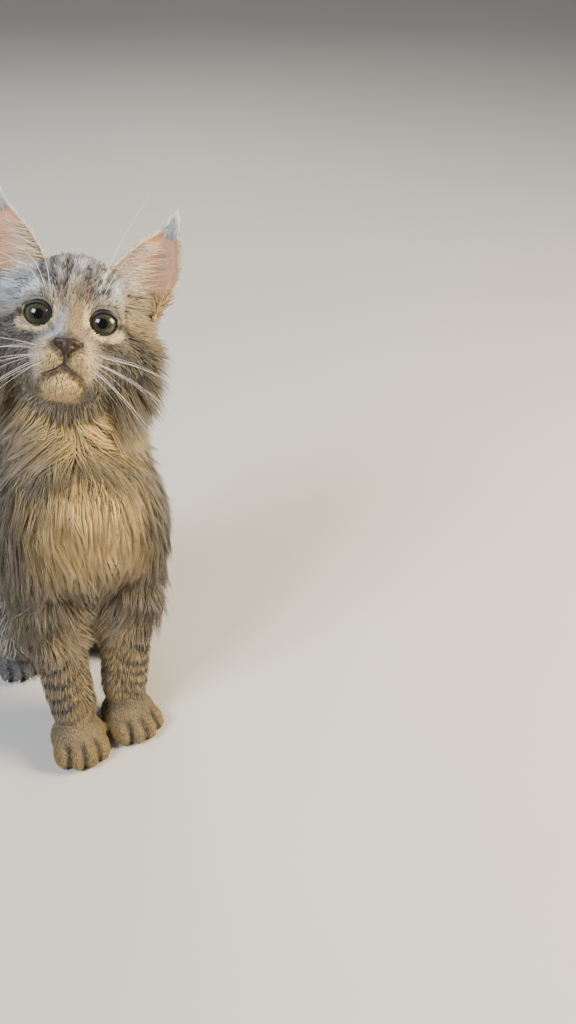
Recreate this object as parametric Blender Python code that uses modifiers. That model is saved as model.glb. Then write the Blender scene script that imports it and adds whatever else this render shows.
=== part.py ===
"""A long-haired kitten sitting upright on the floor and looking up, life size, as a still museum model.

The kitten faces -Y, its left side is +X and the floor is z = 0. Each node is a soft form: primitives
are joined by a voxel remesh and settled onto a smooth blend of named ellipsoids and limbs. Long coat
is made as tapered locks that start inside the form and follow its surface along the lie of the coat.
"""

import math
import random

import bmesh
import bpy
import numpy as np
from mathutils import Matrix, Vector

MM = 0.001
GAP = 0.35 * MM
TO_ORIGIN = Vector((25.8, -100.8, 0.0)) * MM

# Head: place, turn and the sizes of the face, in millimetres of the head's own frame
HEAD_CENTRE = Vector((5.0, 42.0, 258.0))
HEAD_PITCH = math.radians(30)
HEAD_YAW = math.radians(-10.7)
HEAD_ROLL = math.radians(12.6)
EYE_APART = 32.0
EYE_HEIGHT = 5.2
EYE_DEPTH = -19.6
EYE_RADIUS = 8.8
EYE_OPEN = 14.6
LID = 1.4
NOSE_TIP = Vector((0.0, -47.2, -9.8))
MOUTH_HEIGHT = -20.5
MOUTH_HALF = 9.8
EAR_WIDTH = 41.0
EAR_WALL = 1.8
EAR_CUP = 0.62
EAR_TUFT = 15.0

# Body heights and widths, in millimetres above the floor
CHEST_HEIGHT = 150.0
CHEST_HALF = 43.0
NECK_RADIUS = 31.0
ELBOW_HEIGHT = 92.0
FORELEG_RADIUS = 13.5
PAW_APART = 34.0
PAW_HALF = 17.5
HIND_APART = 72.0
LEFT_PAW_BACK = 10.0
TAIL_RADIUS = 11.0
TAIL_PATH = ((0, 150), (-14, 178), (-45, 194), (-80, 186), (-104, 160), (-113, 126), (-110, 96))
TAIL_ROOT_HEIGHT = 26.0
TAIL_PRESS = 0.8
NECK_COAT = 4.0
BODY_COAT = 2.0
TAIL_COAT = 2.0
NECK_LIFT = 14.0
BODY_LIFT = 9.0
TAIL_LIFT = 10.0
CHEEK_LOCKS = 4
CHEEK_DROOP = 0.35
TAIL_RING = 4
NECK_ROW_COUNT = 9
TORSO_ROWS = 5
TORSO_TOP = 188.0
TORSO_LOW = 40.0
TORSO_ROW_COUNT = 10

# Length and width of the locks of each region, in millimetres
BODY_LOCK = (52.0, 27.0)
NECK_LOCK = (38.0, 21.0)
CHEEK_LOCK = (24.0, 12.0)
THIGH_LOCK = (36.0, 20.0)
TAIL_LOCK = (40.0, 14.0)

COLOURS = {
    "coat_grey": (0.36, 0.31, 0.25),
    "coat_cream": (0.62, 0.49, 0.33),
    "coat_dark": (0.16, 0.14, 0.12),
    "ear_skin": (0.68, 0.42, 0.33),
    "iris": (0.32, 0.34, 0.18),
    "nose_leather": (0.34, 0.15, 0.12),
}


def clear_scene():
    for item in list(bpy.data.objects):
        bpy.data.objects.remove(item, do_unlink=True)


def material(name):
    found = bpy.data.materials.get(name)
    if found:
        return found
    made = bpy.data.materials.new(name)
    made.use_nodes = True
    shader = made.node_tree.nodes["Principled BSDF"]
    shader.inputs["Base Color"].default_value = (*COLOURS[name], 1.0)
    shader.inputs["Roughness"].default_value = 0.15 if name == "iris" else 0.85
    return made


class Blob:
    """An ellipsoid: its centre, three radii, an optional turn and how softly it joins, in millimetres."""

    def __init__(self, centre, radii, turn=None, soft=None):
        self.centre = Vector(centre)
        self.radii = Vector(radii)
        self.turn = (turn or Matrix.Identity(3)).to_3x3()
        self.soft = soft

    def placed(self, frame):
        return Blob(frame @ self.centre, self.radii, frame.to_3x3() @ self.turn, self.soft)

    def distance(self, points):
        local = (points - np.array(self.centre)) @ np.array(self.turn)
        radii = np.array(self.radii)
        near = np.linalg.norm(local / radii, axis=1) + 1e-9
        steep = np.linalg.norm(local / radii**2, axis=1) + 1e-9
        return near * (near - 1.0) / steep

    def mesh(self, segments=32, rings=20):
        bpy.ops.mesh.primitive_uv_sphere_add(segments=segments, ring_count=rings, radius=1.0)
        ball = bpy.context.object
        scale = Matrix.Diagonal((*self.radii, 1.0))
        ball.data.transform(Matrix.Translation(self.centre) @ self.turn.to_4x4() @ scale)
        return [ball]


class Limb:
    """A tapered rod with round ends, in millimetres."""

    def __init__(self, start, end, start_radius, end_radius, soft=None):
        self.start = Vector(start)
        self.end = Vector(end)
        self.start_radius = start_radius
        self.end_radius = end_radius
        self.soft = soft

    def placed(self, frame):
        return Limb(frame @ self.start, frame @ self.end, self.start_radius, self.end_radius, self.soft)

    def distance(self, points):
        along = np.array(self.end - self.start)
        offset = points - np.array(self.start)
        share = np.clip(offset @ along / (along @ along), 0.0, 1.0)
        radius = self.start_radius + share * (self.end_radius - self.start_radius)
        return np.linalg.norm(offset - share[:, None] * along, axis=1) - radius

    def mesh(self):
        middle = (self.start + self.end) / 2
        axis = self.end - self.start
        bpy.ops.mesh.primitive_cone_add(
            vertices=32, radius1=self.start_radius, radius2=self.end_radius, depth=axis.length
        )
        cone = bpy.context.object
        cone.data.transform(Matrix.Translation(middle) @ axis.to_track_quat("Z", "Y").to_matrix().to_4x4())
        start_ball = Blob(self.start, [self.start_radius] * 3).mesh()
        end_ball = Blob(self.end, [self.end_radius] * 3).mesh()
        return [cone] + start_ball + end_ball


def blend(first, second, width):
    """The smooth minimum of two distances, rounded over the given width."""
    share = np.clip(0.5 + 0.5 * (second - first) / width, 0.0, 1.0)
    return second * (1 - share) + first * share - width * share * (1 - share)


class Form:
    """A smooth blend of blobs and limbs, less the hollows pressed into it."""

    def __init__(self, parts, width, hollows=()):
        self.parts = parts
        self.width = width
        self.hollows = hollows

    def distance(self, points):
        total = self.parts[0].distance(points)
        for part in self.parts[1:]:
            total = blend(total, part.distance(points), part.soft or self.width)
        for hollow, width in self.hollows:
            total = -blend(-total, hollow.distance(points), width)
        return total

    def slope(self, points, step=0.2):
        sides = []
        for axis in np.eye(3) * step:
            sides.append(self.distance(points + axis) - self.distance(points - axis))
        slope = np.stack(sides, axis=1)
        return slope / (np.linalg.norm(slope, axis=1, keepdims=True) + 1e-12)

    def settle(self, points, level=0.0, rounds=6):
        """Points moved along the slope onto the surface, or onto a level above it."""
        for _ in range(rounds):
            points = points - self.slope(points) * (self.distance(points) - level)[:, None] * 0.8
        return points

    def leaving(self, origin, direction, reach=110.0):
        """The last point of the form along a ray from inside it."""
        steps = np.linspace(0.0, reach, 111)
        points = np.array(origin) + steps[:, None] * np.array(Vector(direction).normalized())
        inside = np.nonzero(self.distance(points) < 0)[0]
        return self.on_surface(points[inside[-1]]) if len(inside) else None

    def on_surface(self, point, level=0.0):
        return Vector(self.settle(np.array([point]), level)[0])

    def outward(self, point):
        return Vector(self.slope(np.array([point]))[0])


def evaluated_copy(obj, name):
    """The object with its modifiers applied, as a new mesh object in its place."""
    graph = bpy.context.evaluated_depsgraph_get()
    mesh = bpy.data.meshes.new_from_object(obj.evaluated_get(graph))
    made = bpy.data.objects.new(name, mesh)
    made.matrix_world = obj.matrix_world
    bpy.context.scene.collection.objects.link(made)
    bpy.data.objects.remove(obj, do_unlink=True)
    return made


def soft_form(name, form, voxel, triangles, level=0.0):
    """A closed mesh of a form: joined primitives, remeshed, settled onto a level of it and thinned."""
    pieces = [piece for part in form.parts for piece in part.mesh()]
    bpy.ops.object.select_all(action="DESELECT")
    for piece in pieces:
        piece.select_set(True)
    bpy.context.view_layer.objects.active = pieces[0]
    bpy.ops.object.join()
    body = bpy.context.object
    remesh = body.modifiers.new("even_faces", "REMESH")
    remesh.mode = "VOXEL"
    remesh.voxel_size = voxel
    body = evaluated_copy(body, name)
    for relaxing in (True, True, False):
        points = np.empty(len(body.data.vertices) * 3)
        body.data.vertices.foreach_get("co", points)
        points = form.settle(points.reshape(-1, 3), level)
        body.data.vertices.foreach_set("co", points.ravel())
        body.data.update()
        if relaxing:
            relax = body.modifiers.new("relax", "SMOOTH")
            relax.factor = 0.5
            relax.iterations = 2
            body = evaluated_copy(body, name)
    thin = body.modifiers.new("fewer_faces", "DECIMATE")
    thin.ratio = min(1.0, triangles / (2.0 * len(body.data.polygons)))
    return evaluated_copy(body, name)


def copy_of(obj, name):
    made = bpy.data.objects.new(name, obj.data.copy())
    made.matrix_world = obj.matrix_world
    bpy.context.scene.collection.objects.link(made)
    return made


def grown(obj, by):
    """A copy of a closed mesh with each corner moved out along its normal, in millimetres."""
    twin = copy_of(obj, obj.name + "_grown")
    swell = twin.modifiers.new("clearance", "DISPLACE")
    swell.strength = by
    swell.mid_level = 0.0
    return evaluated_copy(twin, obj.name + "_grown")


def keep_largest(obj):
    """Keeps the closed surface with the most volume, and drops sealed hollows and loose scraps."""
    mesh = bmesh.new()
    mesh.from_mesh(obj.data)
    bmesh.ops.triangulate(mesh, faces=mesh.faces)
    left = set(mesh.faces)
    shells = []
    while left:
        shell = [left.pop()]
        for face in shell:
            for edge in face.edges:
                for other in edge.link_faces:
                    if other in left:
                        left.remove(other)
                        shell.append(other)
        shells.append(shell)

    def volume(shell):
        corners = ([loop.vert.co for loop in face.loops] for face in shell)
        return sum(a.dot(b.cross(c)) for a, b, c in corners)

    largest = max(shells, key=volume)
    scraps = [face for shell in shells if shell is not largest for face in shell]
    bmesh.ops.delete(mesh, geom=scraps, context="FACES")
    mesh.to_mesh(obj.data)
    mesh.free()
    return obj


def combine(name, base, others, operation):
    """One Boolean of a base with a collection of closed meshes, which are removed afterwards."""
    if not others:
        return base
    group = bpy.data.collections.new(name + "_others")
    bpy.context.scene.collection.children.link(group)
    for other in others:
        for holder in list(other.users_collection):
            holder.objects.unlink(other)
        group.objects.link(other)
    step = base.modifiers.new(operation.lower(), "BOOLEAN")
    step.operation = operation
    step.operand_type = "COLLECTION"
    step.collection = group
    step.solver = "MANIFOLD"
    base = evaluated_copy(base, name)
    for other in list(group.objects):
        bpy.data.objects.remove(other, do_unlink=True)
    bpy.data.collections.remove(group)
    return base


def box(name, centre, size):
    bpy.ops.mesh.primitive_cube_add(size=1.0)
    made = bpy.context.object
    made.name = name
    made.data.transform(Matrix.Translation(centre) @ Matrix.Diagonal((*size, 1.0)))
    return made


def floor_cutter():
    """A slab under the floor, which leaves small flats where the body rests."""
    return box("floor_cutter", Vector((0, 80, -50)), (600, 600, 100))


class Lock:
    """A tapered, flattened lock of coat, as a centre line with a width, a depth and a flat side."""

    def __init__(self, line, facings, widths, depths):
        self.line = line
        self.facings = facings
        self.widths = widths
        self.depths = depths

    def mesh(self, grow=0.0):
        """Rings of four corners from the root to near the tip, closed by a base and a point."""
        shape = bmesh.new()
        rings = []
        last = len(self.line) - 1
        for index in range(last):
            here = self.line[index]
            ahead = (self.line[index + 1] - self.line[max(index - 1, 0)]).normalized()
            up = (self.facings[index] - ahead * self.facings[index].dot(ahead)).normalized()
            side = ahead.cross(up)
            if index == 0:
                here = here - ahead * grow
            half_width = self.widths[index] / 2 + grow
            half_depth = self.depths[index] / 2 + grow
            corners = (side * half_width, up * half_depth, -side * half_width, -up * half_depth)
            rings.append([shape.verts.new(here + corner) for corner in corners])
        ending = (self.line[last] - self.line[last - 1]).normalized()
        tip = shape.verts.new(self.line[last] + ending * grow * 2)
        shape.faces.new(reversed(rings[0]))
        for first, second in zip(rings, rings[1:]):
            for corner in range(4):
                following = (corner + 1) % 4
                shape.faces.new((first[corner], first[following], second[following], second[corner]))
        for corner in range(4):
            shape.faces.new((rings[-1][corner], rings[-1][(corner + 1) % 4], tip))
        bmesh.ops.recalc_face_normals(shape, faces=shape.faces)
        bmesh.ops.triangulate(shape, faces=shape.faces)
        data = bpy.data.meshes.new("lock")
        shape.to_mesh(data)
        shape.free()
        made = bpy.data.objects.new("lock", data)
        bpy.context.scene.collection.objects.link(made)
        return made


LOCK_STEPS = 3
FLOOR_CLEAR = 1.5


def coat_lock(form, root, lie, length, width, lift, rng, depth=3.0, sink=4.0, bend=0.22):
    """A lock that leaves the form at its root, follows the lie over the surface and lifts to its tip."""
    length *= rng.uniform(0.85, 1.15)
    width *= rng.uniform(0.85, 1.15)
    lift *= rng.uniform(0.75, 1.25)
    sway = rng.uniform(-bend, bend)
    point = form.on_surface(root)
    normal = form.outward(point)
    line = [point - normal * sink]
    facings = [normal]
    step = length / LOCK_STEPS
    for index in range(1, LOCK_STEPS + 1):
        ahead = lie(point)
        ahead = (ahead - normal * ahead.dot(normal)).normalized()
        side = normal.cross(ahead)
        point = form.on_surface(point + (ahead + side * sway).normalized() * step)
        sway = -sway * 0.8
        normal = form.outward(point)
        place = point + normal * lift * (index / LOCK_STEPS) ** 0.8
        place.z = max(place.z, FLOOR_CLEAR + depth / 2)
        line.append(place)
        facings.append(normal)
    widths = [width * 0.8, width, width * 0.8, 0.0]
    depths = [depth * 1.2, depth, depth * 0.75, 0.0]
    return Lock(line, facings, widths, depths)


def free_lock(root, ahead, droop, facing, size, rng, depth=2.6, sink=4.0):
    """A lock that stands out from its root in one direction and bends down towards its tip."""
    length = size[0] * rng.uniform(0.85, 1.15)
    width = size[1] * rng.uniform(0.85, 1.15)
    ahead = Vector(ahead).normalized()
    line = []
    for share in (-sink / length, 0.33, 0.67, 1.0):
        line.append(root + ahead * length * share - Vector((0, 0, droop * length)) * max(share, 0.0) ** 2)
    widths = [width * 0.8, width, width * 0.75, 0.0]
    depths = [depth * 1.2, depth, depth * 0.75, 0.0]
    return Lock(line, [facing] * 4, widths, depths)


def head_frame():
    turn = (
        Matrix.Rotation(HEAD_YAW, 4, "Z")
        @ Matrix.Rotation(-HEAD_PITCH, 4, "X")
        @ Matrix.Rotation(HEAD_ROLL, 4, "Y")
    )
    return Matrix.Translation(HEAD_CENTRE) @ turn


def eye_centre(side):
    return Vector((side * EYE_APART / 2, EYE_DEPTH, EYE_HEIGHT))


def head_form():
    """The skull, brows, cheeks, muzzle and chin under short fur, in the head's own frame."""
    parts = [
        Blob((0, 9, 8), (30, 35, 33)),
        Blob((0, -8, 17), (22, 19, 18)),
        Blob((0, -11, -10), (25, 23, 18)),
        Limb((0, -18, 9), (0, -39.5, -5.5), 9.5, 6.4),
        Blob((0, -27, -15), (16, 14, 11)),
        Blob((0, -14, -26), (21, 21, 10)),
        Blob((0, -32.5, -28.5), (11.0, 9.5, 8.0), soft=6.0),
    ]
    for side in (-1, 1):
        tilt_in = Matrix.Rotation(math.radians(-18 * side), 3, "Z")
        eye = eye_centre(side)
        parts.append(Blob((side * 23, -2, -10), (16.5, 22, 17), tilt_in))
        parts.append(Blob((side * 15, -19, 16.5), (10.5, 9, 6)))
        parts.append(Blob((side * 16, -21, -5.5), (10.5, 9, 6.5)))
        parts.append(Blob((side * 21, 12, 19), (13, 15, 14)))
        parts.append(Blob((side * 8.6, -36.2, -14.8), (10.2, 10.8, 8.8), soft=5.0))
        parts.append(Blob(eye, [EYE_RADIUS + LID] * 3, soft=3.5))
    frame = head_frame()
    return Form([part.placed(frame) for part in parts], 8.0)


def ear_axes(side):
    """The ear's foot, tip, outward, upward and backward directions, in the head's frame."""
    foot = Vector((side * 30.0, 7.0, 20.0))
    tip = Vector((side * 47.0, 21.0, 66.0))
    upward = (tip - foot).normalized()
    outward = Vector((side * 0.80, -0.22, -0.56))
    outward = (outward - upward * outward.dot(upward)).normalized()
    backward = upward.cross(outward) * side
    return foot, tip, outward, upward, backward


def ear_sheet_point(side, across, up):
    """A point of the ear's mid surface: across runs from 0 at the inner edge to 1 at the outer edge."""
    foot, tip, outward, _, backward = ear_axes(side)
    centre = foot.lerp(tip, up)
    half = EAR_WIDTH / 2 * (1 - up) ** 0.62 * (1.0 + 0.10 * math.sin(math.pi * up))
    angle = math.radians(-102 + 204 * across)
    cup = outward * math.sin(angle) + backward * EAR_CUP * (math.cos(angle) - 0.2)
    return centre + cup * half


def ear_shell(side, name, across_steps=8, up_steps=6):
    """The cupped ear as one closed shell with an inner and an outer wall."""
    frame = head_frame()
    sheet = bmesh.new()
    rows = []
    for row in range(up_steps):
        up = row / up_steps
        rows.append(
            [
                sheet.verts.new(frame @ ear_sheet_point(side, col / across_steps, up - 0.04))
                for col in range(across_steps + 1)
            ]
        )
    tip = sheet.verts.new(frame @ ear_sheet_point(side, 0.5, 0.985))
    for low, high in zip(rows, rows[1:]):
        for col in range(across_steps):
            sheet.faces.new((low[col], low[col + 1], high[col + 1], high[col]))
    for col in range(across_steps):
        sheet.faces.new((rows[-1][col], rows[-1][col + 1], tip))
    bmesh.ops.recalc_face_normals(sheet, faces=sheet.faces)
    data = bpy.data.meshes.new(name)
    sheet.to_mesh(data)
    sheet.free()
    ear = bpy.data.objects.new(name, data)
    bpy.context.scene.collection.objects.link(ear)
    wall = ear.modifiers.new("wall", "SOLIDIFY")
    wall.thickness = EAR_WALL
    wall.offset = 0.0
    return evaluated_copy(ear, name)


def ear_locks(side):
    """The tuft at the ear's tip and the long furnishings that cross its cup from the inner edge."""
    frame = head_frame()
    rng = random.Random(40 + side)
    _, tip, outward, upward, backward = ear_axes(side)
    locks = []
    for spread in (-0.28, 0.0, 0.3):
        ahead = (upward + outward * spread - backward * 0.1).normalized()
        root = ear_sheet_point(side, 0.5, 0.93)
        reach = EAR_TUFT * (1.0 - 0.5 * abs(spread))
        line = [root - ahead] + [root + ahead * reach * share for share in (0.4, 0.75, 1.0)]
        widths = [3.4, 3.2, 2.0, 0.0]
        depths = [1.5, 1.4, 1.0, 0.0]
        facing = frame.to_3x3() @ backward
        locks.append(Lock([frame @ point for point in line], [facing] * 4, widths, depths))
    for row in range(5):
        up = 0.08 + 0.14 * row
        reach = 1.0 - 0.1 * row
        inward = -backward
        line = [
            ear_sheet_point(side, 0.03, up),
            ear_sheet_point(side, 0.26, up + 0.02) + inward * 5.0 * reach,
            ear_sheet_point(side, 0.52, up + 0.05) + inward * 7.0 * reach,
            ear_sheet_point(side, 0.74 + rng.uniform(-0.05, 0.05), up + 0.06) + inward * 4.5 * reach,
        ]
        widths = [5.0, 5.0, 3.6, 0.0]
        depths = [1.2, 1.3, 1.0, 0.0]
        facing = frame.to_3x3() @ inward
        locks.append(Lock([frame @ point for point in line], [facing] * 4, widths, depths))
    return locks


def cheek_locks():
    """The longer coat behind each cheek, which stands out past the face."""
    frame = head_frame()
    rng = random.Random(50)
    form = head_form()
    locks = []
    for side in (-1, 1):
        for column in range(CHEEK_LOCKS):
            share = column / (CHEEK_LOCKS - 1)
            for row in range(2):
                start = frame @ Vector((side * 14, 2.0 + 10.0 * row, 5.0 - 24.0 * share))
                out = frame.to_3x3() @ Vector((side, 0.1 + 0.25 * row, 0.1 - 0.75 * share))
                root = form.leaving(start, out, 60.0)
                ahead = out.normalized() + frame.to_3x3() @ Vector((side * 0.2, 0.35, -0.25))
                facing = frame.to_3x3() @ Vector((0.0, -1.0, 0.35))
                locks.append(free_lock(root, ahead, CHEEK_DROOP, facing, CHEEK_LOCK, rng))
    return locks


def face_cutters():
    """The line of the mouth, as a thin curved tube pressed into the muzzle."""
    frame = head_frame()
    cutters = []
    for side in (-1, 1):
        path = bpy.data.curves.new("mouth_line", "CURVE")
        path.dimensions = "3D"
        path.bevel_depth = 0.9
        path.bevel_resolution = 1
        path.use_fill_caps = True
        line = path.splines.new("POLY")
        stops = [
            Vector((0, -47.5, MOUTH_HEIGHT + 4.0)),
            Vector((side * 0.8, -46.3, MOUTH_HEIGHT)),
            Vector((side * MOUTH_HALF * 0.5, -44.5, MOUTH_HEIGHT - 3.2)),
            Vector((side * MOUTH_HALF, -39.5, MOUTH_HEIGHT - 5.5)),
        ]
        line.points.add(len(stops) - 1)
        for point, stop in zip(line.points, stops):
            point.co = (*(frame @ stop), 1.0)
        tube = bpy.data.objects.new("mouth_line", path)
        bpy.context.scene.collection.objects.link(tube)
        tube = evaluated_copy(tube, "mouth_line")
        seal = bmesh.new()
        seal.from_mesh(tube.data)
        bmesh.ops.remove_doubles(seal, verts=seal.verts, dist=0.01)
        bmesh.ops.recalc_face_normals(seal, faces=seal.faces)
        seal.to_mesh(tube.data)
        seal.free()
        cutters.append(tube)
    return cutters


def ball(name, centre, radius, segments=14, rings=9):
    bpy.ops.mesh.primitive_uv_sphere_add(segments=segments, ring_count=rings, radius=radius)
    made = bpy.context.object
    made.name = name
    made.data.transform(Matrix.Translation(centre))
    return made


def lid_opening(side):
    """The round opening between the lids of one eye, which shows the eyeball behind it."""
    centre = eye_centre(side) + Vector((side * 1.0, -8.2, -0.3))
    opening = Blob(centre, (EYE_OPEN / 2, 6.5, EYE_OPEN * 0.46)).placed(head_frame())
    return opening.mesh(16, 10)[0]


def nose_form():
    """The triangular nose leather between the whisker pads."""
    tip = NOSE_TIP
    parts = [
        Blob(tip + Vector((0, 0.4, 1.2)), (5.8, 2.8, 2.0)),
        Blob(tip + Vector((0, 0.4, -1.2)), (3.8, 2.6, 2.6)),
        Limb(tip + Vector((0, 0.2, -2)), tip + Vector((0, 1.0, -6.0)), 2.2, 1.0),
        Blob(tip + Vector((-4.2, 1.4, 0.1)), (2.3, 2.4, 2.0)),
        Blob(tip + Vector((4.2, 1.4, 0.1)), (2.3, 2.4, 2.0)),
    ]
    frame = head_frame()
    nostrils = []
    for side in (-1, 1):
        nostril = Blob(tip + Vector((side * 3.4, -1.9, -1.2)), (1.4, 1.7, 0.9))
        nostrils.append((nostril.placed(frame), 0.6))
    return Form([part.placed(frame) for part in parts], 1.8, nostrils)


def foreleg_form(side):
    """One straight foreleg from inside the chest down to the toes."""
    back = LEFT_PAW_BACK if side > 0 else 0.0
    wrist = Vector((side * PAW_APART / 2, 15.0 + back, 27.0))
    elbow = Vector((side * 24.0, 32.0, ELBOW_HEIGHT))
    turn = Matrix.Rotation(math.radians(16 if side > 0 else -2), 4, "Z")
    paw = Matrix.Translation((wrist.x, wrist.y - 5.0, 0)) @ turn
    parts = [
        Limb((side * 27.0, 40.0, ELBOW_HEIGHT + 26), elbow, 17.0, 15.5),
        Limb(elbow, wrist, 15.5, FORELEG_RADIUS - 0.5),
        Blob((0, 0, 11), (PAW_HALF - 1.0, 18, 12.5)).placed(paw),
    ]
    for index in range(4):
        spot = (index - 1.5) / 1.5
        toe = Blob((spot * 11.5, -9.5 - 4.5 * (1 - spot**2), 7.2), (5.6, 8.6, 8.2))
        parts.append(toe.placed(paw))
    return Form(parts, 4.0)


def hindleg_form(side):
    """One folded hind leg: thigh, knee, and the foot flat on the floor."""
    across = side * HIND_APART / 2
    parts = [
        Blob((side * 34, 110, 58), (24, 40, 46), Matrix.Rotation(math.radians(-14), 3, "X")),
        Blob((side * 37, 88, 50), (17, 23, 32)),
        Limb((across, 142, 13), (across, 102, 11.5), 13.0, 12.0),
        Blob((across, 98, 10.5), (16, 17, 11.5)),
    ]
    for index in range(4):
        spot = (index - 1.5) / 1.5
        parts.append(Blob((across + spot * 10.5, 89 - 3.5 * (1 - spot**2), 7.0), (5.2, 8.4, 8.0)))
    return Form(parts, 6.0)


def tail_radius(stop):
    """The tail's radius without its coat, from its root to its end."""
    return TAIL_RADIUS + 3.0 - 5.5 * stop / (len(TAIL_PATH) - 1)


def tail_stop(stop):
    """A point of the tail's centre line, which comes down from the rump and then lies on the floor."""
    height = TAIL_ROOT_HEIGHT if stop == 0 else tail_radius(stop) + TAIL_COAT - TAIL_PRESS
    return Vector((*TAIL_PATH[stop], height))


def tail_form(first, last):
    """A length of the tail between two of its stops."""
    parts = []
    for stop in range(first, last):
        parts.append(Limb(tail_stop(stop), tail_stop(stop + 1), tail_radius(stop), tail_radius(stop + 1)))
    return Form(parts, 4.0)


def neck_form():
    return Form(
        [
            Limb((2, 54, 196), (4, 50, 226), NECK_RADIUS + 3, NECK_RADIUS),
            Blob((3, 36, 214), (24, 20, 18)),
        ],
        10.0,
    )


def torso_form():
    """The chest, shoulders, belly, back and rump inside the coat."""
    parts = [
        Blob((0, 46, CHEST_HEIGHT), (CHEST_HALF, 41, 54)),
        Blob((0, 28, CHEST_HEIGHT + 12), (33, 27, 42)),
        Blob((0, 54, 194), (36, 35, 28)),
        Blob((0, 74, 160), (38, 40, 46)),
        Blob((0, 92, 112), (44, 48, 52)),
        Blob((0, 108, 78), (48, 52, 52)),
        Blob((0, 120, 45), (48, 46, 46)),
    ]
    for side in (-1, 1):
        parts.append(Blob((side * 30, 42, 132), (18, 27, 40)))
    return Form(parts, 14.0)


def body_form():
    """The whole body under its coat, which the long coat follows."""
    parts = list(torso_form().parts)
    for side in (-1, 1):
        parts += foreleg_form(side).parts[:2]
        parts += hindleg_form(side).parts
    return Form(parts, 14.0)


def body_lie(point):
    """Down the chest and towards its middle, down and back along the flanks and the back."""
    front = min(max((60.0 - point.y) / 50.0, 0.0), 1.0)
    low = min(max((130.0 - point.z) / 60.0, 0.0), 1.0)
    inwards = -0.35 * front * low * math.copysign(1.0, point.x) * min(abs(point.x) / 15.0, 1.0)
    return Vector((inwards, 0.42 * (1.0 - front), -1.0)).normalized()


def thigh_lie(point):
    return Vector((0.0, 0.55, -0.85)).normalized()


def ruff_lie(point):
    """From the jaw down, outwards at the sides and back behind the cheeks."""
    return Vector((0.006 * point.x, 0.004 * (point.y - 20.0), -1.0)).normalized()


def turned(degrees):
    """A level direction, with 0 to the front and 90 to the kitten's left."""
    angle = math.radians(degrees)
    return Vector((math.sin(angle), -math.cos(angle), 0.0))


def ring_of_locks(form, guide, centre, count, start, lie, size, lift, rng, keep=None):
    """Locks of one length and width, rooted evenly round one level of a form."""
    locks = []
    for index in range(count):
        direction = turned(start + 360.0 * index / count + rng.uniform(-2.5, 2.5))
        spot = form.leaving(centre + Vector((0, 0, rng.uniform(-3, 3))), direction)
        if spot is None or (keep and not keep(spot)):
            continue
        locks.append(coat_lock(guide, spot, lie, *size, lift, rng))
    return locks


def torso_locks():
    rng = random.Random(11)
    form = torso_form()
    guide = body_form()
    legs = [leg(side) for leg in (foreleg_form, hindleg_form) for side in (-1, 1)]

    def clear_of_legs(spot):
        return min(float(leg.distance(np.array([spot]))[0]) for leg in legs) > 1.0

    locks = []
    for row in range(TORSO_ROWS):
        share = row / (TORSO_ROWS - 1)
        height = TORSO_TOP + (TORSO_LOW - TORSO_TOP) * share
        centre = Vector((0, 46 + 60 * share**1.3, height))
        count = round(TORSO_ROW_COUNT * (0.85 + 0.35 * share))
        start = 180.0 / count * (row % 2)
        locks += ring_of_locks(
            form, guide, centre, count, start, body_lie, BODY_LOCK, BODY_LIFT, rng, clear_of_legs
        )
    return locks


def neck_locks():
    rng = random.Random(12)
    form = neck_form()
    guide = Form(list(form.parts) + list(torso_form().parts), 12.0)
    locks = []
    for row, height in enumerate((232.0, 208.0)):
        centre = Vector((3, 50, height))
        start = 180.0 / NECK_ROW_COUNT * (row % 2)
        locks += ring_of_locks(
            form, guide, centre, NECK_ROW_COUNT, start, ruff_lie, NECK_LOCK, NECK_LIFT, rng
        )
    return locks


def thigh_locks(side):
    rng = random.Random(13 + side)
    form = hindleg_form(side)
    guide = body_form()
    locks = []
    for row, height in enumerate((88.0, 64.0, 42.0)):
        for index in range(3):
            angle = 60.0 + 27.0 * (index + 0.5 * (row % 2))
            spot = form.leaving(Vector((side * 34, 100, height)), turned(side * angle))
            if spot is not None:
                locks.append(coat_lock(guide, spot, thigh_lie, *THIGH_LOCK, BODY_LIFT * 0.6, rng))
    return locks


def tail_locks(first, last):
    """Locks along a length of the tail, standing out to its sides and above it."""
    rng = random.Random(30 + first)
    form = tail_form(0, len(TAIL_PATH) - 1)
    locks = []
    for stop in range(first, last):
        here, there = tail_stop(stop), tail_stop(stop + 1)
        ahead = (there - here).normalized()
        side = Vector((0, 0, 1)).cross(ahead).normalized()
        for index in range(TAIL_RING):
            angle = math.radians(-15 + 210 * (index + 0.5 * (stop % 2)) / (TAIL_RING - 0.5))
            direction = side * math.cos(angle) + Vector((0, 0, 1)) * math.sin(angle)
            spot = form.leaving(here.lerp(there, 0.4), direction, 40.0)
            locks.append(coat_lock(form, spot, lambda point: ahead, *TAIL_LOCK, TAIL_LIFT, rng))
    return locks


def finished(name, solid, slot, collection):
    """Names a node, gives it its material and moves it from modelling millimetres to metres."""
    keep_largest(solid)
    solid.data.transform(Matrix.Translation(TO_ORIGIN) @ Matrix.Diagonal((MM, MM, MM, 1.0)))
    solid.name = name
    solid.data.name = name
    solid.data.materials.clear()
    solid.data.materials.append(material(slot))
    for holder in list(solid.users_collection):
        holder.objects.unlink(solid)
    collection.objects.link(solid)
    return solid


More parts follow.
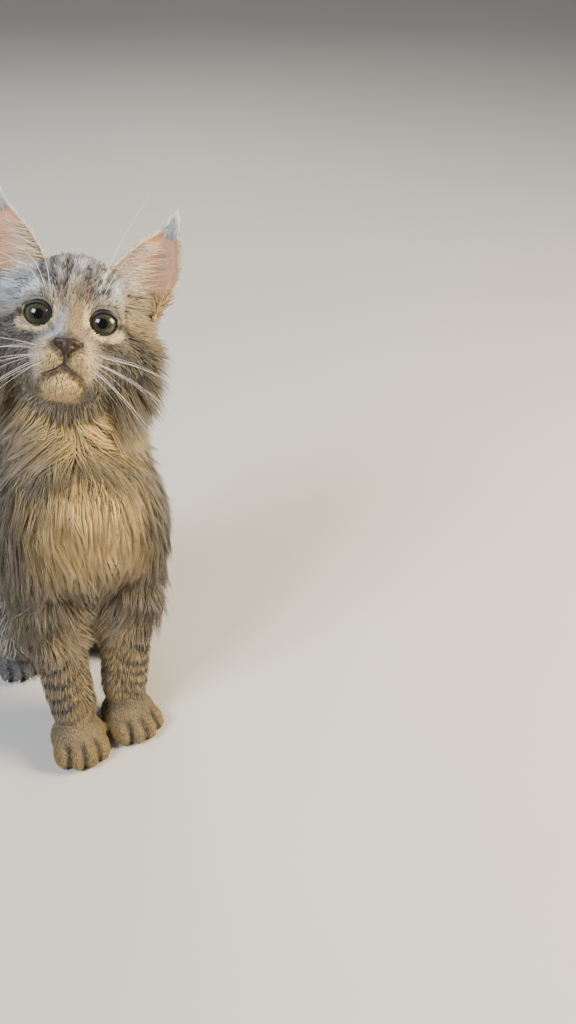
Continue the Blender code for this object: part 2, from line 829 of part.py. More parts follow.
class Node:
    """A form with its locks, ready to be fused and to be cut clear of what is already placed."""

    def __init__(self, name, slot, core, locks=()):
        self.name = name
        self.slot = slot
        self.core = core
        self.locks = list(locks)

    def twins(self):
        """Slightly larger copies that other nodes are cut back from."""
        return [grown(self.core, GAP / MM * 1.15)] + [lock.mesh(GAP / MM) for lock in self.locks]

    def build(self, cutters, collection):
        solid = copy_of(self.core, self.name + "_solid")
        solid = combine(self.name, solid, [lock.mesh() for lock in self.locks], "UNION")
        solid = combine(self.name, solid, cutters + [floor_cutter()], "DIFFERENCE")
        return finished(self.name, solid, self.slot, collection)


def eye_nodes():
    frame = head_frame()
    found = []
    for side, word in ((-1, "right"), (1, "left")):
        core = ball(f"eye_{word}_core", frame @ eye_centre(side), EYE_RADIUS)
        found.append(Node(f"eye_{word}", "iris", core))
    return found


def head_core():
    core = soft_form("head_core", head_form(), 1.6, 1500)
    core = combine("head_core", core, face_cutters() + [lid_opening(-1), lid_opening(1)], "DIFFERENCE")
    return keep_largest(core)


def main():
    clear_scene()
    kitten = bpy.data.collections.new("kitten")
    bpy.context.scene.collection.children.link(kitten)
    eyes = eye_nodes()
    nose = Node("nose", "nose_leather", soft_form("nose_core", nose_form(), 0.5, 190))
    ears = [
        Node(f"ear_{word}", "ear_skin", ear_shell(side, f"ear_{word}_core"), ear_locks(side))
        for side, word in ((-1, "right"), (1, "left"))
    ]
    head = Node("head", "coat_grey", head_core(), cheek_locks())
    neck = Node("neck", "coat_cream", soft_form("neck_core", neck_form(), 4.0, 260, NECK_COAT), neck_locks())
    legs = []
    for side, word in ((-1, "right"), (1, "left")):
        legs.append(Node(f"foreleg_{word}", "coat_cream", soft_form("core", foreleg_form(side), 2.2, 460)))
    for side, word in ((-1, "right"), (1, "left")):
        core = soft_form("core", hindleg_form(side), 3.0, 420)
        legs.append(Node(f"hindleg_{word}", "coat_grey", core, thigh_locks(side)))
    tail = [
        Node(
            f"tail_{word}",
            "coat_grey",
            soft_form("core", tail_form(first, last), 2.4, 130, TAIL_COAT),
            tail_locks(first, last),
        )
        for word, first, last in (("base", 0, 2), ("middle", 2, 4), ("end", 4, 6))
    ]
    core = soft_form("torso_core", torso_form(), 4.0, 560, BODY_COAT)
    torso = Node("torso", "coat_cream", core, torso_locks())
    order = eyes + [nose, head] + ears + [neck] + legs + tail + [torso]
    for index, node in enumerate(order):
        before = [twin for other in order[:index] for twin in other.twins()]
        node.build(before, kitten)
    for node in order:
        bpy.data.objects.remove(node.core, do_unlink=True)


main()
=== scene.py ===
"""A long-haired silver tabby kitten, sitting and looking up, as a museum model in a pale studio.

The kitten is modelled in millimetres, facing -Y with the floor at z = 0, and each finished piece is
put into the frame in metres. The script is laid out as an add-on: its operators build one group each.
"""

import math
import random

import bmesh
import bpy
import numpy as np
from mathutils import Matrix, Vector
from mathutils.kdtree import KDTree


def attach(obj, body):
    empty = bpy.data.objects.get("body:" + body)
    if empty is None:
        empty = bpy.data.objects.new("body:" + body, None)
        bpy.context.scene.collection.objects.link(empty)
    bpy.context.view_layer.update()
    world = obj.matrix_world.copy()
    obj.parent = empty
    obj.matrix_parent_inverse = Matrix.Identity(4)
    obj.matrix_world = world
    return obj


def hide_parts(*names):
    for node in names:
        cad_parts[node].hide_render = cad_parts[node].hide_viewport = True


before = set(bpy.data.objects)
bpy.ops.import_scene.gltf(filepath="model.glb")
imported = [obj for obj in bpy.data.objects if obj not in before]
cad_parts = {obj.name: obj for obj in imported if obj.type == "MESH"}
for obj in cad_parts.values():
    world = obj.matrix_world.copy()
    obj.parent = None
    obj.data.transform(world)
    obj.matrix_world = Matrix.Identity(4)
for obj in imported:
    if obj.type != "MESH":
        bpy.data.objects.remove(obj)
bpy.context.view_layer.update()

bl_info = {
    "name": "Museum kitten",
    "version": (1, 0, 0),
    "blender": (4, 5, 0),
    "location": "View3D > Sidebar > Kitten",
    "description": "Builds the skin, eyes, ears, coat and whiskers of a sitting kitten round its solids",
    "category": "Object",
}

MM = 0.001
TO_FRAME = Vector((25.8, -100.8, 0.0))

# The most triangles in one piece of long coat, and the most tufts in one of short coat or ear hair
PIECE_TRIANGLES = 190000
SHORT_TUFTS = 19000
EAR_TUFTS = 11800

# Where each coat's random draws start
SEEDS = {
    "ear_hair": 60,
    "whiskers": 71,
    "face_coat": 101,
    "ruff": 131,
    "chest_coat": 201,
    "flank_coat": 202,
    "foreleg_coat": 203,
    "thigh_coat": 204,
    "tail_coat": 205,
}

# Head, in millimetres of its own frame: x to its left, y to its back, z to its crown
HEAD_CENTRE = Vector((5.0, 42.0, 258.0))
HEAD_PITCH = math.radians(30)
HEAD_YAW = math.radians(-10.7)
HEAD_ROLL = math.radians(12.6)
EYE_APART = 32.0
EYE_HEIGHT = 5.2
EYE_DEPTH = -19.6
EYE_RADIUS = 8.8
EYE_OPEN = 14.6
LID = 1.4
NOSE_TIP = Vector((0.0, -47.2, -9.8))
MOUTH = (
    (0, -47.4, -15.5),
    (0.4, -46.6, -19.6),
    (3.8, -45.6, -22.4),
    (8.0, -42.0, -24.6),
    (11.0, -38.0, -25.6),
)
WHISKER_ROWS = 3
WHISKER_SPOTS = 4
EAR_WIDTH = 41.0
EAR_TURN = 102.0
EAR_WALL = 1.5
EAR_CUP = 0.62

# Body, in millimetres above the floor
CHEST_HEIGHT = 150.0
CHEST_HALF = 43.0
NECK_RADIUS = 31.0
ELBOW_HEIGHT = 92.0
FORELEG_RADIUS = 13.5
PAW_APART = 34.0
PAW_HALF = 17.5
HIND_APART = 72.0
LEFT_PAW_BACK = 10.0
TAIL_RADIUS = 11.0
TAIL_PATH = ((0, 150), (-14, 178), (-45, 194), (-80, 186), (-104, 160), (-113, 126), (-110, 96))
TAIL_ROOT_HEIGHT = 26.0
TAIL_HAIR = 30.0

# Whiskers end inside these limits, and the brow's at these places, in millimetres of the cat's frame
WHISKER_TOP = 327.0
WHISKER_FRONT = -17.0
BROW_TIPS = {
    -1: ((-18.0, 44.0, 325.0), (-34.0, 30.0, 318.0), (-44.0, 22.0, 300.0)),
    1: ((52.0, 44.0, 325.0), (46.0, 8.0, 322.0), (60.0, 20.0, 300.0)),
}

# Coat and skin colours, as linear red, green and blue
SILVER = (0.44, 0.41, 0.36)
WHITE = (0.78, 0.71, 0.60)
CREAM = (0.56, 0.385, 0.150)
FAWN = (0.30, 0.215, 0.098)
TAN = (0.27, 0.185, 0.11)
GREY = (0.20, 0.175, 0.145)
DARK = (0.040, 0.034, 0.030)
# Painted shadow along the mouth's line, under the whisker pads
PAINTED_MOUTH_SHADOW = (0.13, 0.075, 0.045)
# Silvery white of the crown's frosted patches, also used as painted cool highlight on the face's right side
FROST_AND_COOL_HIGHLIGHT = (0.74, 0.79, 0.84)
BROWN_GREY = (0.145, 0.115, 0.065)
BRIGHT_CREAM = (0.74, 0.52, 0.205)
CHEEK = (0.105, 0.080, 0.045)
PALE_RING = (0.72, 0.57, 0.34)
TIP = (0.70, 0.73, 0.75)
PINK = (0.68, 0.37, 0.23)
# Painted shade deep in the ear's bowl, near its foot
PAINTED_EAR_SHADE = (0.30, 0.14, 0.11)
CROWN_GREY = (0.42, 0.44, 0.45)
# Grey of the hind feet, darkened as painted shade towards the floor
FOOT_GREY = (0.135, 0.15, 0.16)
WHISKER = (0.82, 0.80, 0.76)
HORN = (0.72, 0.60, 0.50)
FLOOR = (0.62, 0.61, 0.59)
SKY = (0.88, 0.90, 0.95)

# Bare skin: its colour and its darker blotches
NOSE_LEATHER = ((0.044, 0.018, 0.012), (0.010, 0.006, 0.005))
LIP_LEATHER = ((0.014, 0.010, 0.009), (0.006, 0.005, 0.005))

# The eye's colours from the middle of the pupil outwards, at shares of the angle of its edge
EYE_EDGE = math.radians(75)
EYE_RINGS = (
    (0.0, (0.003, 0.003, 0.004)),
    (0.205, (0.003, 0.003, 0.004)),
    (0.245, (0.026, 0.026, 0.017)),
    (0.40, (0.048, 0.050, 0.031)),
    (0.54, (0.076, 0.083, 0.054)),
    (0.62, (0.036, 0.039, 0.025)),
    (0.70, (0.008, 0.007, 0.006)),
    (1.0, (0.02, 0.015, 0.012)),
)

# Dark lines of the forehead: millimetres from its middle, width and depth
FOREHEAD_LINES = ((0.0, 1.6, 0.7), (5.0, 2.4, 1.0), (10.8, 2.7, 1.0), (17.0, 2.8, 1.0))

# Dark lines of a cheek: ends measured outwards, back and up from the eye, width and depth
CHEEK_LINES = (
    ((9.0, 0.0, -1.0), (15.0, 7.0, -8.0), 3.2, 1.0),
    ((15.0, 7.0, -8.0), (19.0, 15.0, -20.0), 3.8, 1.0),
    ((1.0, -6.0, -11.5), (10.0, 1.0, -13.0), 2.8, 0.95),
    ((10.0, 1.0, -13.0), (14.5, 6.0, -24.0), 3.4, 1.0),
    ((5.0, -6.0, -19.0), (10.0, 0.0, -27.0), 2.4, 0.8),
)

# Lamps: name, place, aim, size, power and colour
LAMPS = (
    ("cool_key", (-0.9, -0.7, 1.25), (0.0, 0.0, 0.2), 0.55, 30.0, (0.92, 0.96, 1.0)),
    ("warm_side", (1.0, -0.5, 0.7), (0.0, -0.05, 0.18), 0.5, 36.0, (1.0, 0.82, 0.54)),
    ("back_rim", (0.3, 1.1, 1.1), (0.0, 0.0, 0.2), 0.7, 10.0, (1.0, 0.97, 0.93)),
)


def blend(first, second, width):
    """The smooth minimum of two distances, rounded over the given width."""
    share = np.clip(0.5 + 0.5 * (second - first) / width, 0.0, 1.0)
    return second * (1 - share) + first * share - width * share * (1 - share)


def ramp(values, low, high):
    """0 below low, 1 above high, and smooth between them, for either order of the two."""
    share = np.clip((values - low) / (high - low), 0.0, 1.0)
    return share * share * (3 - 2 * share)


def unit(vectors):
    return vectors / (np.linalg.norm(vectors, axis=-1, keepdims=True) + 1e-9)


def mix(colours, other, share):
    return colours + (np.array(other) - colours) * np.clip(share, 0.0, 1.0)[:, None]


def layered(colours, *layers):
    """Colours with others mixed in one after another, each by its share."""
    for other, share in layers:
        colours = mix(colours, other, share)
    return colours


def evenly(colour, count, bright=1.0):
    """The same colour for each of a number of points."""
    return np.tile(np.array(colour) * bright, (count, 1))


def noise(points, size, seed=0):
    """Smooth value noise from 0 to 1, with lumps of the given size in millimetres."""
    places = points / size + 137.0 + seed * 17.3
    cells = np.floor(places).astype(np.int64)
    inside = places - cells
    inside = inside * inside * (3 - 2 * inside)
    total = np.zeros(len(points))
    for corner in range(8):
        step = np.array([corner & 1, corner >> 1 & 1, corner >> 2 & 1])
        x, y, z = ((cells + step) * (73856093, 19349663, 83492791)).T
        mixed = (x ^ y ^ z ^ (seed * 2654435761)) & 0x7FFFFFFF
        mixed = (mixed * 1103515245 + 12345) & 0x7FFFFFFF
        value = (mixed >> 8 & 0xFFFF) / 65535.0
        total += value * np.prod(np.where(step, inside, 1 - inside), axis=1)
    return total


class Blob:
    """An ellipsoid: its centre, three radii, an optional turn and how softly it joins, in millimetres."""

    def __init__(self, centre, radii, turn=None, soft=None):
        self.centre = Vector(centre)
        self.radii = Vector(radii)
        self.turn = (turn or Matrix.Identity(3)).to_3x3()
        self.soft = soft

    def placed(self, place):
        return Blob(place @ self.centre, self.radii, place.to_3x3() @ self.turn, self.soft)

    def distance(self, points):
        local = (points - np.array(self.centre)) @ np.array(self.turn)
        radii = np.array(self.radii)
        near = np.sqrt((local / radii) ** 2 @ np.ones(3)) + 1e-9
        steep = np.sqrt((local / radii**2) ** 2 @ np.ones(3)) + 1e-9
        return near * (near - 1.0) / steep

    def span(self):
        return self.centre, max(self.radii)

    def mesh(self):
        bpy.ops.mesh.primitive_uv_sphere_add(segments=32, ring_count=20, radius=1.0)
        ball = bpy.context.object
        scale = Matrix.Diagonal((*self.radii, 1.0))
        ball.data.transform(Matrix.Translation(self.centre) @ self.turn.to_4x4() @ scale)
        return [ball]


class Limb:
    """A tapered rod with round ends, in millimetres."""

    def __init__(self, start, end, start_radius, end_radius, soft=None):
        self.start = Vector(start)
        self.end = Vector(end)
        self.start_radius = start_radius
        self.end_radius = end_radius
        self.soft = soft

    def placed(self, place):
        return Limb(place @ self.start, place @ self.end, self.start_radius, self.end_radius, self.soft)

    def distance(self, points):
        along = np.array(self.end - self.start)
        offset = points - np.array(self.start)
        share = np.clip(offset @ along / (along @ along), 0.0, 1.0)
        radius = self.start_radius + share * (self.end_radius - self.start_radius)
        return np.linalg.norm(offset - share[:, None] * along, axis=1) - radius

    def span(self):
        reach = (self.end - self.start).length / 2
        return (self.start + self.end) / 2, reach + max(self.start_radius, self.end_radius)

    def mesh(self):
        middle = (self.start + self.end) / 2
        axis = self.end - self.start
        bpy.ops.mesh.primitive_cone_add(
            vertices=32, radius1=self.start_radius, radius2=self.end_radius, depth=axis.length
        )
        cone = bpy.context.object
        cone.data.transform(Matrix.Translation(middle) @ axis.to_track_quat("Z", "Y").to_matrix().to_4x4())
        start_ball = Blob(self.start, [self.start_radius] * 3).mesh()
        end_ball = Blob(self.end, [self.end_radius] * 3).mesh()
        return [cone] + start_ball + end_ball


class Form:
    """A smooth blend of blobs, limbs and other forms, less the hollows pressed into it."""

    MARGIN = 22.0
    EASE = 0.85

    def __init__(self, parts, width, hollows=(), soft=None):
        self.parts = parts
        self.width = width
        self.hollows = hollows
        self.soft = soft
        spans = [part.span() for part in parts]
        self.middle = sum((centre for centre, _ in spans), Vector()) / len(spans)
        self.reach = max((centre - self.middle).length + radius for centre, radius in spans)

    def span(self):
        return self.middle, self.reach

    def distance(self, points):
        """The signed distance, and only the distance to the form's ball for points far from it."""
        far = np.linalg.norm(points - np.array(self.middle), axis=1) - self.reach
        near = far < self.MARGIN
        total = far.copy()
        close = points[near]
        if len(close):
            inner = self.parts[0].distance(close)
            for part in self.parts[1:]:
                inner = blend(inner, part.distance(close), part.soft or self.width)
            for hollow, width in self.hollows:
                inner = -blend(-inner, hollow.distance(close), width)
            total[near] = inner
        return total

    def measured(self, points, step=0.25):
        """Distances and outward slopes of points."""
        here = self.distance(points)
        slope = np.stack([self.distance(points + axis) - here for axis in np.eye(3) * step], axis=1)
        return here, unit(slope)

    def settle(self, points, level=0.0, rounds=5):
        for _ in range(rounds):
            here, slope = self.measured(points)
            points = points - slope * ((here - level) * self.EASE)[:, None]
        return points


def head_frame():
    turn = Matrix.Rotation(HEAD_YAW, 4, "Z") @ Matrix.Rotation(-HEAD_PITCH, 4, "X")
    return Matrix.Translation(HEAD_CENTRE) @ (turn @ Matrix.Rotation(HEAD_ROLL, 4, "Y"))


def in_head(points):
    """Points in the head's own frame."""
    return (points - np.array(HEAD_CENTRE)) @ np.array(head_frame().to_3x3())


def from_head(points):
    """Points of the head's own frame in the cat's."""
    return head_turned(points) + np.array(HEAD_CENTRE)


def head_turned(vectors):
    return np.asarray(vectors, float) @ np.array(head_frame().to_3x3()).T


def eye_centre(side):
    return Vector((side * EYE_APART / 2, EYE_DEPTH, EYE_HEIGHT))


def lid_opening(side):
    centre = eye_centre(side) + Vector((side * 0.6, -14.0, -0.2))
    return Blob(centre, (EYE_OPEN * 0.58, 14.0, EYE_OPEN * 0.51))


def tear_corner(side):
    """The short slit towards the nose at the inner corner of the lids."""
    eye = eye_centre(side)
    inner = Vector((-side * 8.6, -7.8, -5.6))
    return Limb(eye + Vector((-side * 4.5, -8.6, -2.6)), eye + inner, 1.5, 0.5)


def mouth_stops(side):
    """Points along one half of the mouth's line, in the head's frame."""
    return [Vector((side * x, y, z)) for x, y, z in MOUTH]


def mouth_limbs(side, radius):
    stops = mouth_stops(side)
    return [Limb(start, end, radius, radius) for start, end in zip(stops, stops[1:])]


def head_form():
    """The skull, brows, cheeks, muzzle and chin under short fur, with the lids and the mouth's line."""
    parts = [
        Blob((0, 9, 8), (30, 35, 33)),
        Blob((0, -8, 17), (22, 19, 18)),
        Blob((0, -11, -10), (25, 23, 18)),
        Limb((0, -18, 9), (0, -39.5, -5.5), 9.5, 6.4),
        Blob((0, -27, -15), (16, 14, 11)),
        Blob((0, -14, -26), (21, 21, 10)),
        Blob((0, -32.5, -28.5), (11.0, 9.5, 8.0), soft=6.0),
    ]
    hollows = []
    place = head_frame()
    for side in (-1, 1):
        tilt_in = Matrix.Rotation(math.radians(-18 * side), 3, "Z")
        eye = eye_centre(side)
        parts.append(Blob((side * 23, -2, -10), (16.5, 22, 17), tilt_in))
        parts.append(Blob((side * 15, -19, 16.5), (10.5, 9, 6)))
        parts.append(Blob((side * 16, -21, -5.5), (10.5, 9, 6.5)))
        parts.append(Blob((side * 21, 12, 19), (13, 15, 14)))
        parts.append(Blob((side * 8.6, -36.2, -14.8), (10.2, 10.8, 8.8), soft=5.0))
        parts.append(Blob(eye, [EYE_RADIUS + LID] * 3, soft=3.5))
        hollows += [(limb.placed(place), 2.0) for limb in mouth_limbs(side, 1.1)]
    return Form([part.placed(place) for part in parts], 8.0, hollows, soft=8.0)


def nose_form():
    """The triangular nose leather between the whisker pads."""
    tip = NOSE_TIP
    parts = [
        Blob(tip + Vector((0, 0.4, 1.2)), (5.8, 2.8, 2.0)),
        Blob(tip + Vector((0, 0.4, -1.2)), (3.8, 2.6, 2.6)),
        Limb(tip + Vector((0, 0.2, -2)), tip + Vector((0, 1.0, -6.0)), 2.2, 1.0),
        Blob(tip + Vector((-4.2, 1.4, 0.1)), (2.3, 2.4, 2.0)),
        Blob(tip + Vector((4.2, 1.4, 0.1)), (2.3, 2.4, 2.0)),
    ]
    place = head_frame()
    hollows = []
    for side in (-1, 1):
        nostril = Blob(tip + Vector((side * 3.3, -1.9, -1.0)), (1.3, 1.9, 0.9))
        slit = Limb(tip + Vector((side * 3.9, -1.6, -1.2)), tip + Vector((side * 6.2, 0.2, -1.0)), 0.7, 0.4)
        hollows.append((nostril.placed(place), 0.5))
        hollows.append((slit.placed(place), 0.4))
    groove = Limb(tip + Vector((0, -2.6, -1.6)), tip + Vector((0, -1.2, -6.5)), 0.4, 0.5)
    hollows.append((groove.placed(place), 0.5))
    return Form([part.placed(place) for part in parts], 1.8, hollows)


NOSE = nose_form()


def paw_frame(side):
    back = LEFT_PAW_BACK if side > 0 else 0.0
    turn = Matrix.Rotation(math.radians(16 if side > 0 else -2), 4, "Z")
    return Matrix.Translation((side * PAW_APART / 2, 10.0 + back, 0)) @ turn


def foreleg_toes(side):
    toes = []
    for index in range(4):
        spot = (index - 1.5) / 1.5
        toe = Blob((spot * 11.5, -9.5 - 4.5 * (1 - spot**2), 7.2), (5.5, 9.4, 8.4), soft=1.4)
        toes.append(toe.placed(paw_frame(side)))
    return toes


def foreleg_form(side):
    back = LEFT_PAW_BACK if side > 0 else 0.0
    wrist = Vector((side * PAW_APART / 2, 15.0 + back, 27.0))
    elbow = Vector((side * 24.0, 32.0, ELBOW_HEIGHT))
    parts = [
        Limb((side * 27.0, 40.0, ELBOW_HEIGHT + 26), elbow, 17.0, 15.5),
        Limb(elbow, wrist, 15.5, FORELEG_RADIUS - 0.5),
        Blob((0, 0, 11), (PAW_HALF - 1.0, 18, 12.5)).placed(paw_frame(side)),
    ]
    return Form(parts + foreleg_toes(side), 4.0, soft=2.5)


def hindleg_toes(side):
    toes = []
    for index in range(4):
        spot = (index - 1.5) / 1.5
        centre = (side * HIND_APART / 2 + spot * 10.5, 89 - 3.5 * (1 - spot**2), 7.0)
        toes.append(Blob(centre, (5.1, 8.8, 8), soft=1.6))
    return toes


def hindleg_form(side):
    across = side * HIND_APART / 2
    parts = [
        Blob((side * 34, 110, 58), (24, 40, 46), Matrix.Rotation(math.radians(-14), 3, "X")),
        Blob((side * 37, 88, 50), (17, 23, 32)),
        Limb((across, 142, 13), (across, 102, 11.5), 13.0, 12.0),
        Blob((across, 98, 10.5), (16, 17, 11.5)),
    ]
    return Form(parts + hindleg_toes(side), 6.0, soft=9.0)


def tail_radius(stop):
    return TAIL_RADIUS + 3.0 - 5.5 * stop / (len(TAIL_PATH) - 1)


def tail_stop(stop):
    height = TAIL_ROOT_HEIGHT if stop == 0 else tail_radius(stop) + 1.2
    return Vector((*TAIL_PATH[stop], height))


def tail_form():
    ends = [(tail_stop(stop), tail_radius(stop)) for stop in range(len(TAIL_PATH))]
    parts = [
        Limb(start, end, start_radius, end_radius)
        for (start, start_radius), (end, end_radius) in zip(ends, ends[1:])
    ]
    return Form(parts, 4.0, soft=9.0)


def neck_form():
    throat = Blob((3, 36, 214), (24, 20, 18))
    return Form([Limb((2, 54, 196), (4, 50, 226), NECK_RADIUS + 3, NECK_RADIUS), throat], 10.0, soft=10.0)


def torso_form():
    """The chest, shoulders, belly, back and rump inside the coat."""
    parts = [
        Blob((0, 46, CHEST_HEIGHT), (CHEST_HALF, 41, 54)),
        Blob((0, 28, CHEST_HEIGHT + 12), (33, 27, 42)),
        Blob((0, 54, 194), (36, 35, 28)),
        Blob((0, 74, 160), (38, 40, 46)),
        Blob((0, 92, 112), (44, 48, 52)),
        Blob((0, 108, 78), (48, 52, 52)),
        Blob((0, 120, 45), (48, 46, 46)),
    ]
    for side in (-1, 1):
        parts.append(Blob((side * 30, 42, 132), (18, 27, 40)))
    return Form(parts, 14.0)


REGIONS = ("torso", "neck", "head", "foreleg", "foreleg", "hindleg", "hindleg", "tail")
FORMS = (
    torso_form(),
    neck_form(),
    head_form(),
    foreleg_form(-1),
    foreleg_form(1),
    hindleg_form(-1),
    hindleg_form(1),
    tail_form(),
)
WHOLE = Form(FORMS, 10.0)
EYES = np.array([from_head([eye_centre(side)])[0] for side in (-1, 1)])


def skin_level(points):
    """How far the skin lies inside the outer form: less at the lids and the muzzle."""
    near_eye = np.min([np.linalg.norm(points - eye, axis=1) for eye in EYES], axis=0)
    level = -1.8 * ramp(near_eye, EYE_RADIUS + LID + 0.5, EYE_RADIUS + 8.0)
    legs = np.min([FORMS[index].distance(points) for index in (3, 4)], axis=0)
    level = level * (0.15 + 0.85 * np.maximum(ramp(legs, 1.0, 6.0), ramp(points[:, 2], 85, 110)))
    nose = np.linalg.norm(in_head(points) - np.array(NOSE_TIP), axis=1)
    return level * (0.35 + 0.65 * ramp(nose, 8.0, 26.0))


# Meshes


def select_only(*objects):
    bpy.ops.object.select_all(action="DESELECT")
    for item in objects:
        item.select_set(True)
    bpy.context.view_layer.objects.active = objects[0]


def apply_modifiers(obj):
    select_only(obj)
    for step in list(obj.modifiers):
        bpy.ops.object.modifier_apply(modifier=step.name)


def corners_of(mesh):
    points = np.empty(len(mesh.vertices) * 3)
    mesh.vertices.foreach_get("co", points)
    return points.reshape(-1, 3)


def settle_mesh(obj, form, level, rounds=5):
    points = form.settle(corners_of(obj.data), 0.0, 2)
    for _ in range(rounds):
        points = form.settle(points, level(points), 1)
    obj.data.vertices.foreach_set("co", points.ravel())
    obj.data.update()


def voxel_remesh(obj, size):
    remesh = obj.modifiers.new("even_faces", "REMESH")
    remesh.mode = "VOXEL"
    remesh.voxel_size = size
    apply_modifiers(obj)


def soft_mesh(name, form, parts, voxel, level, relaxed=2):
    """Joined primitives, remeshed into one skin and settled onto a level of the form."""
    bpy.ops.object.select_all(action="DESELECT")
    select_only(*[piece for part in parts for piece in part.mesh()])
    bpy.ops.object.join()
    body = bpy.context.object
    body.name = name
    voxel_remesh(body, voxel)
    for _ in range(relaxed):
        settle_mesh(body, form, level, 3)
        relax = body.modifiers.new("relax", "SMOOTH")
        relax.factor = 0.5
        relax.iterations = 2
        apply_modifiers(body)
    settle_mesh(body, form, level)
    return body


def finish_piece(obj, material, replaced=()):
    """Puts a finished piece into the frame in metres, shaded, with its material."""
    obj.data.transform(Matrix.Scale(MM, 4) @ Matrix.Translation(TO_FRAME))
    obj.data.materials.clear()
    obj.data.materials.append(material)
    obj.data.shade_smooth()
    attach(obj, "root")
    if replaced:
        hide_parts(*replaced)
    return obj


def placed_object(name, data):
    obj = bpy.data.objects.new(name, data)
    bpy.context.scene.collection.objects.link(obj)
    return obj


def mesh_object(name, points, faces):
    data = bpy.data.meshes.new(name)
    data.from_pydata([tuple(point) for point in points], [], [tuple(face) for face in faces])
    return placed_object(name, data)


def band_faces(first, second, sides):
    """The faces between two rings of corners, given the first corner of each."""
    pairs = [(turn, (turn + 1) % sides) for turn in range(sides)]
    return [(first + turn, first + other, second + other, second + turn) for turn, other in pairs]


def normals_of(mesh):
    normals = np.empty(len(mesh.vertices) * 3)
    mesh.vertex_normals.foreach_get("vector", normals)
    return normals.reshape(-1, 3)


def paint(mesh, colours):
    """Gives each corner of a mesh its colour as an attribute that the materials read."""
    layer = mesh.attributes.new("coat_colour", "FLOAT_COLOR", "POINT")
    values = np.ones((len(mesh.vertices), 4), np.float32)
    values[:, :3] = colours
    layer.data.foreach_set("color", values.ravel())


# Markings


def eye_space(local, side):
    """Places round one eye: across towards its outer corner and up, in millimetres."""
    eye = eye_centre(side)
    return side * (local[:, 0] - eye.x), local[:, 2] - eye.z


def stroke(local, start, end, width):
    """1 on a line between two points of the head's frame, seen mostly from the front."""
    flat = Vector((1.0, 0.3, 1.0))
    away = Limb(start * flat, end * flat, 0.0, 0.0).distance(local * np.array((1.0, 0.3, 1.0)))
    return 1.0 - ramp(away, width * 0.45, width * 1.2)


def head_colour(points):
    """The silver tabby face: the forehead's lines, pale round the eyes and muzzle, the cheek lines, and
    painted cool highlights on its right side.
    """
    local = in_head(points)
    x, y, z = local.T
    wide = np.abs(x)
    streaks = noise(local * (1.0, 0.4, 0.4), 1.7, 3)
    patches = noise(local, 5.0, 4)
    temple = ramp(wide, 19, 24) * ramp(z, 31, 22) * ramp(z, -6, 2)
    cheek = ramp(z, 4, -3) * np.maximum(ramp(wide, 9, 16), ramp(z, -24, -28))
    middle = ramp(wide, 11.0, 5.0) * ramp(z, -6, 0) * ramp(z, 27.0, 16.0) * ramp(y, -14.0, -20.0)
    bridge = ramp(np.abs(x - 4.5), 7.0, 3.0) * ramp(z, -9, -3) * ramp(z, 26, 14) * ramp(y, -14, -20)
    # Painted cool highlight beside the nose's bridge, below the right eye
    cool_highlight = ramp(np.abs(x + 5.0), 4.5, 2.0) * ramp(z, -15, -9) * ramp(z, 9, 3) * ramp(y, -14, -20)
    colour = layered(
        evenly(SILVER, len(points), 0.8),
        (CROWN_GREY, ramp(z, 5, 11)),
        (FROST_AND_COOL_HIGHLIGHT, 0.85 * ramp(patches, 0.3, 0.6) * ramp(z, 7, 12)),
        (FAWN, 0.85 * temple * ramp(x, -24, -16)),
        (GREY, 0.42 * ramp(streaks, 0.45, 0.8)),
        (CHEEK, 0.9 * cheek),
        (TAN, 0.8 * middle),
        (FAWN, 0.75 * bridge),
        # painted cool highlight beside the nose
        (FROST_AND_COOL_HIGHLIGHT, 0.6 * cool_highlight),
    )
    for place, width, depth in FOREHEAD_LINES:
        line = place * (0.75 + 0.014 * (z - 14)) + (noise(local, 5.0, int(place)) - 0.5) * 4.5
        band = 1.0 - ramp(np.abs(wide - line), width * 0.4, width * 1.3)
        low = 8.5 if place > 3 else 13.0
        height = ramp(z, low, low + 4.0) * ramp(y, 40, 20)
        broken = 0.55 + 0.45 * ramp(noise(local, 3.6, 7 + int(place)), 0.3, 0.6)
        colour = mix(colour, DARK, depth * band * height * broken)
    crown = ramp(y, 0, 20) * (0.45 + 0.35 * np.sin(wide * 0.8 + noise(local, 9, 8) * 2))
    muzzle = ramp(np.linalg.norm((local - (0, -37, -16.5)) / (1.3, 1, 0.8), axis=1), 15.0, 10.5)
    chin = ramp(z, -22, -27) * ramp(wide, 12.5, 7.5) * ramp(y, -14, -22)
    under_nose = stroke(local, Vector((0, -48, -16)), Vector((0, -47, -21)), 1.7)
    colour = layered(
        colour,
        (GREY, crown),
        (WHITE, 0.95 * muzzle),
        (BRIGHT_CREAM, 0.85 * muzzle),
        # painted cool highlight on the muzzle's right side
        (FROST_AND_COOL_HIGHLIGHT, 0.55 * muzzle * ramp(x, -8, -16)),
        (BRIGHT_CREAM, 0.75 * chin),
        (DARK, 0.6 * ramp(NOSE.distance(points), 2.6, 1.0)),
        (DARK, 0.75 * under_nose),
    )
    for side in (-1, 1):
        colour = side_markings(colour, local, side)
    return colour


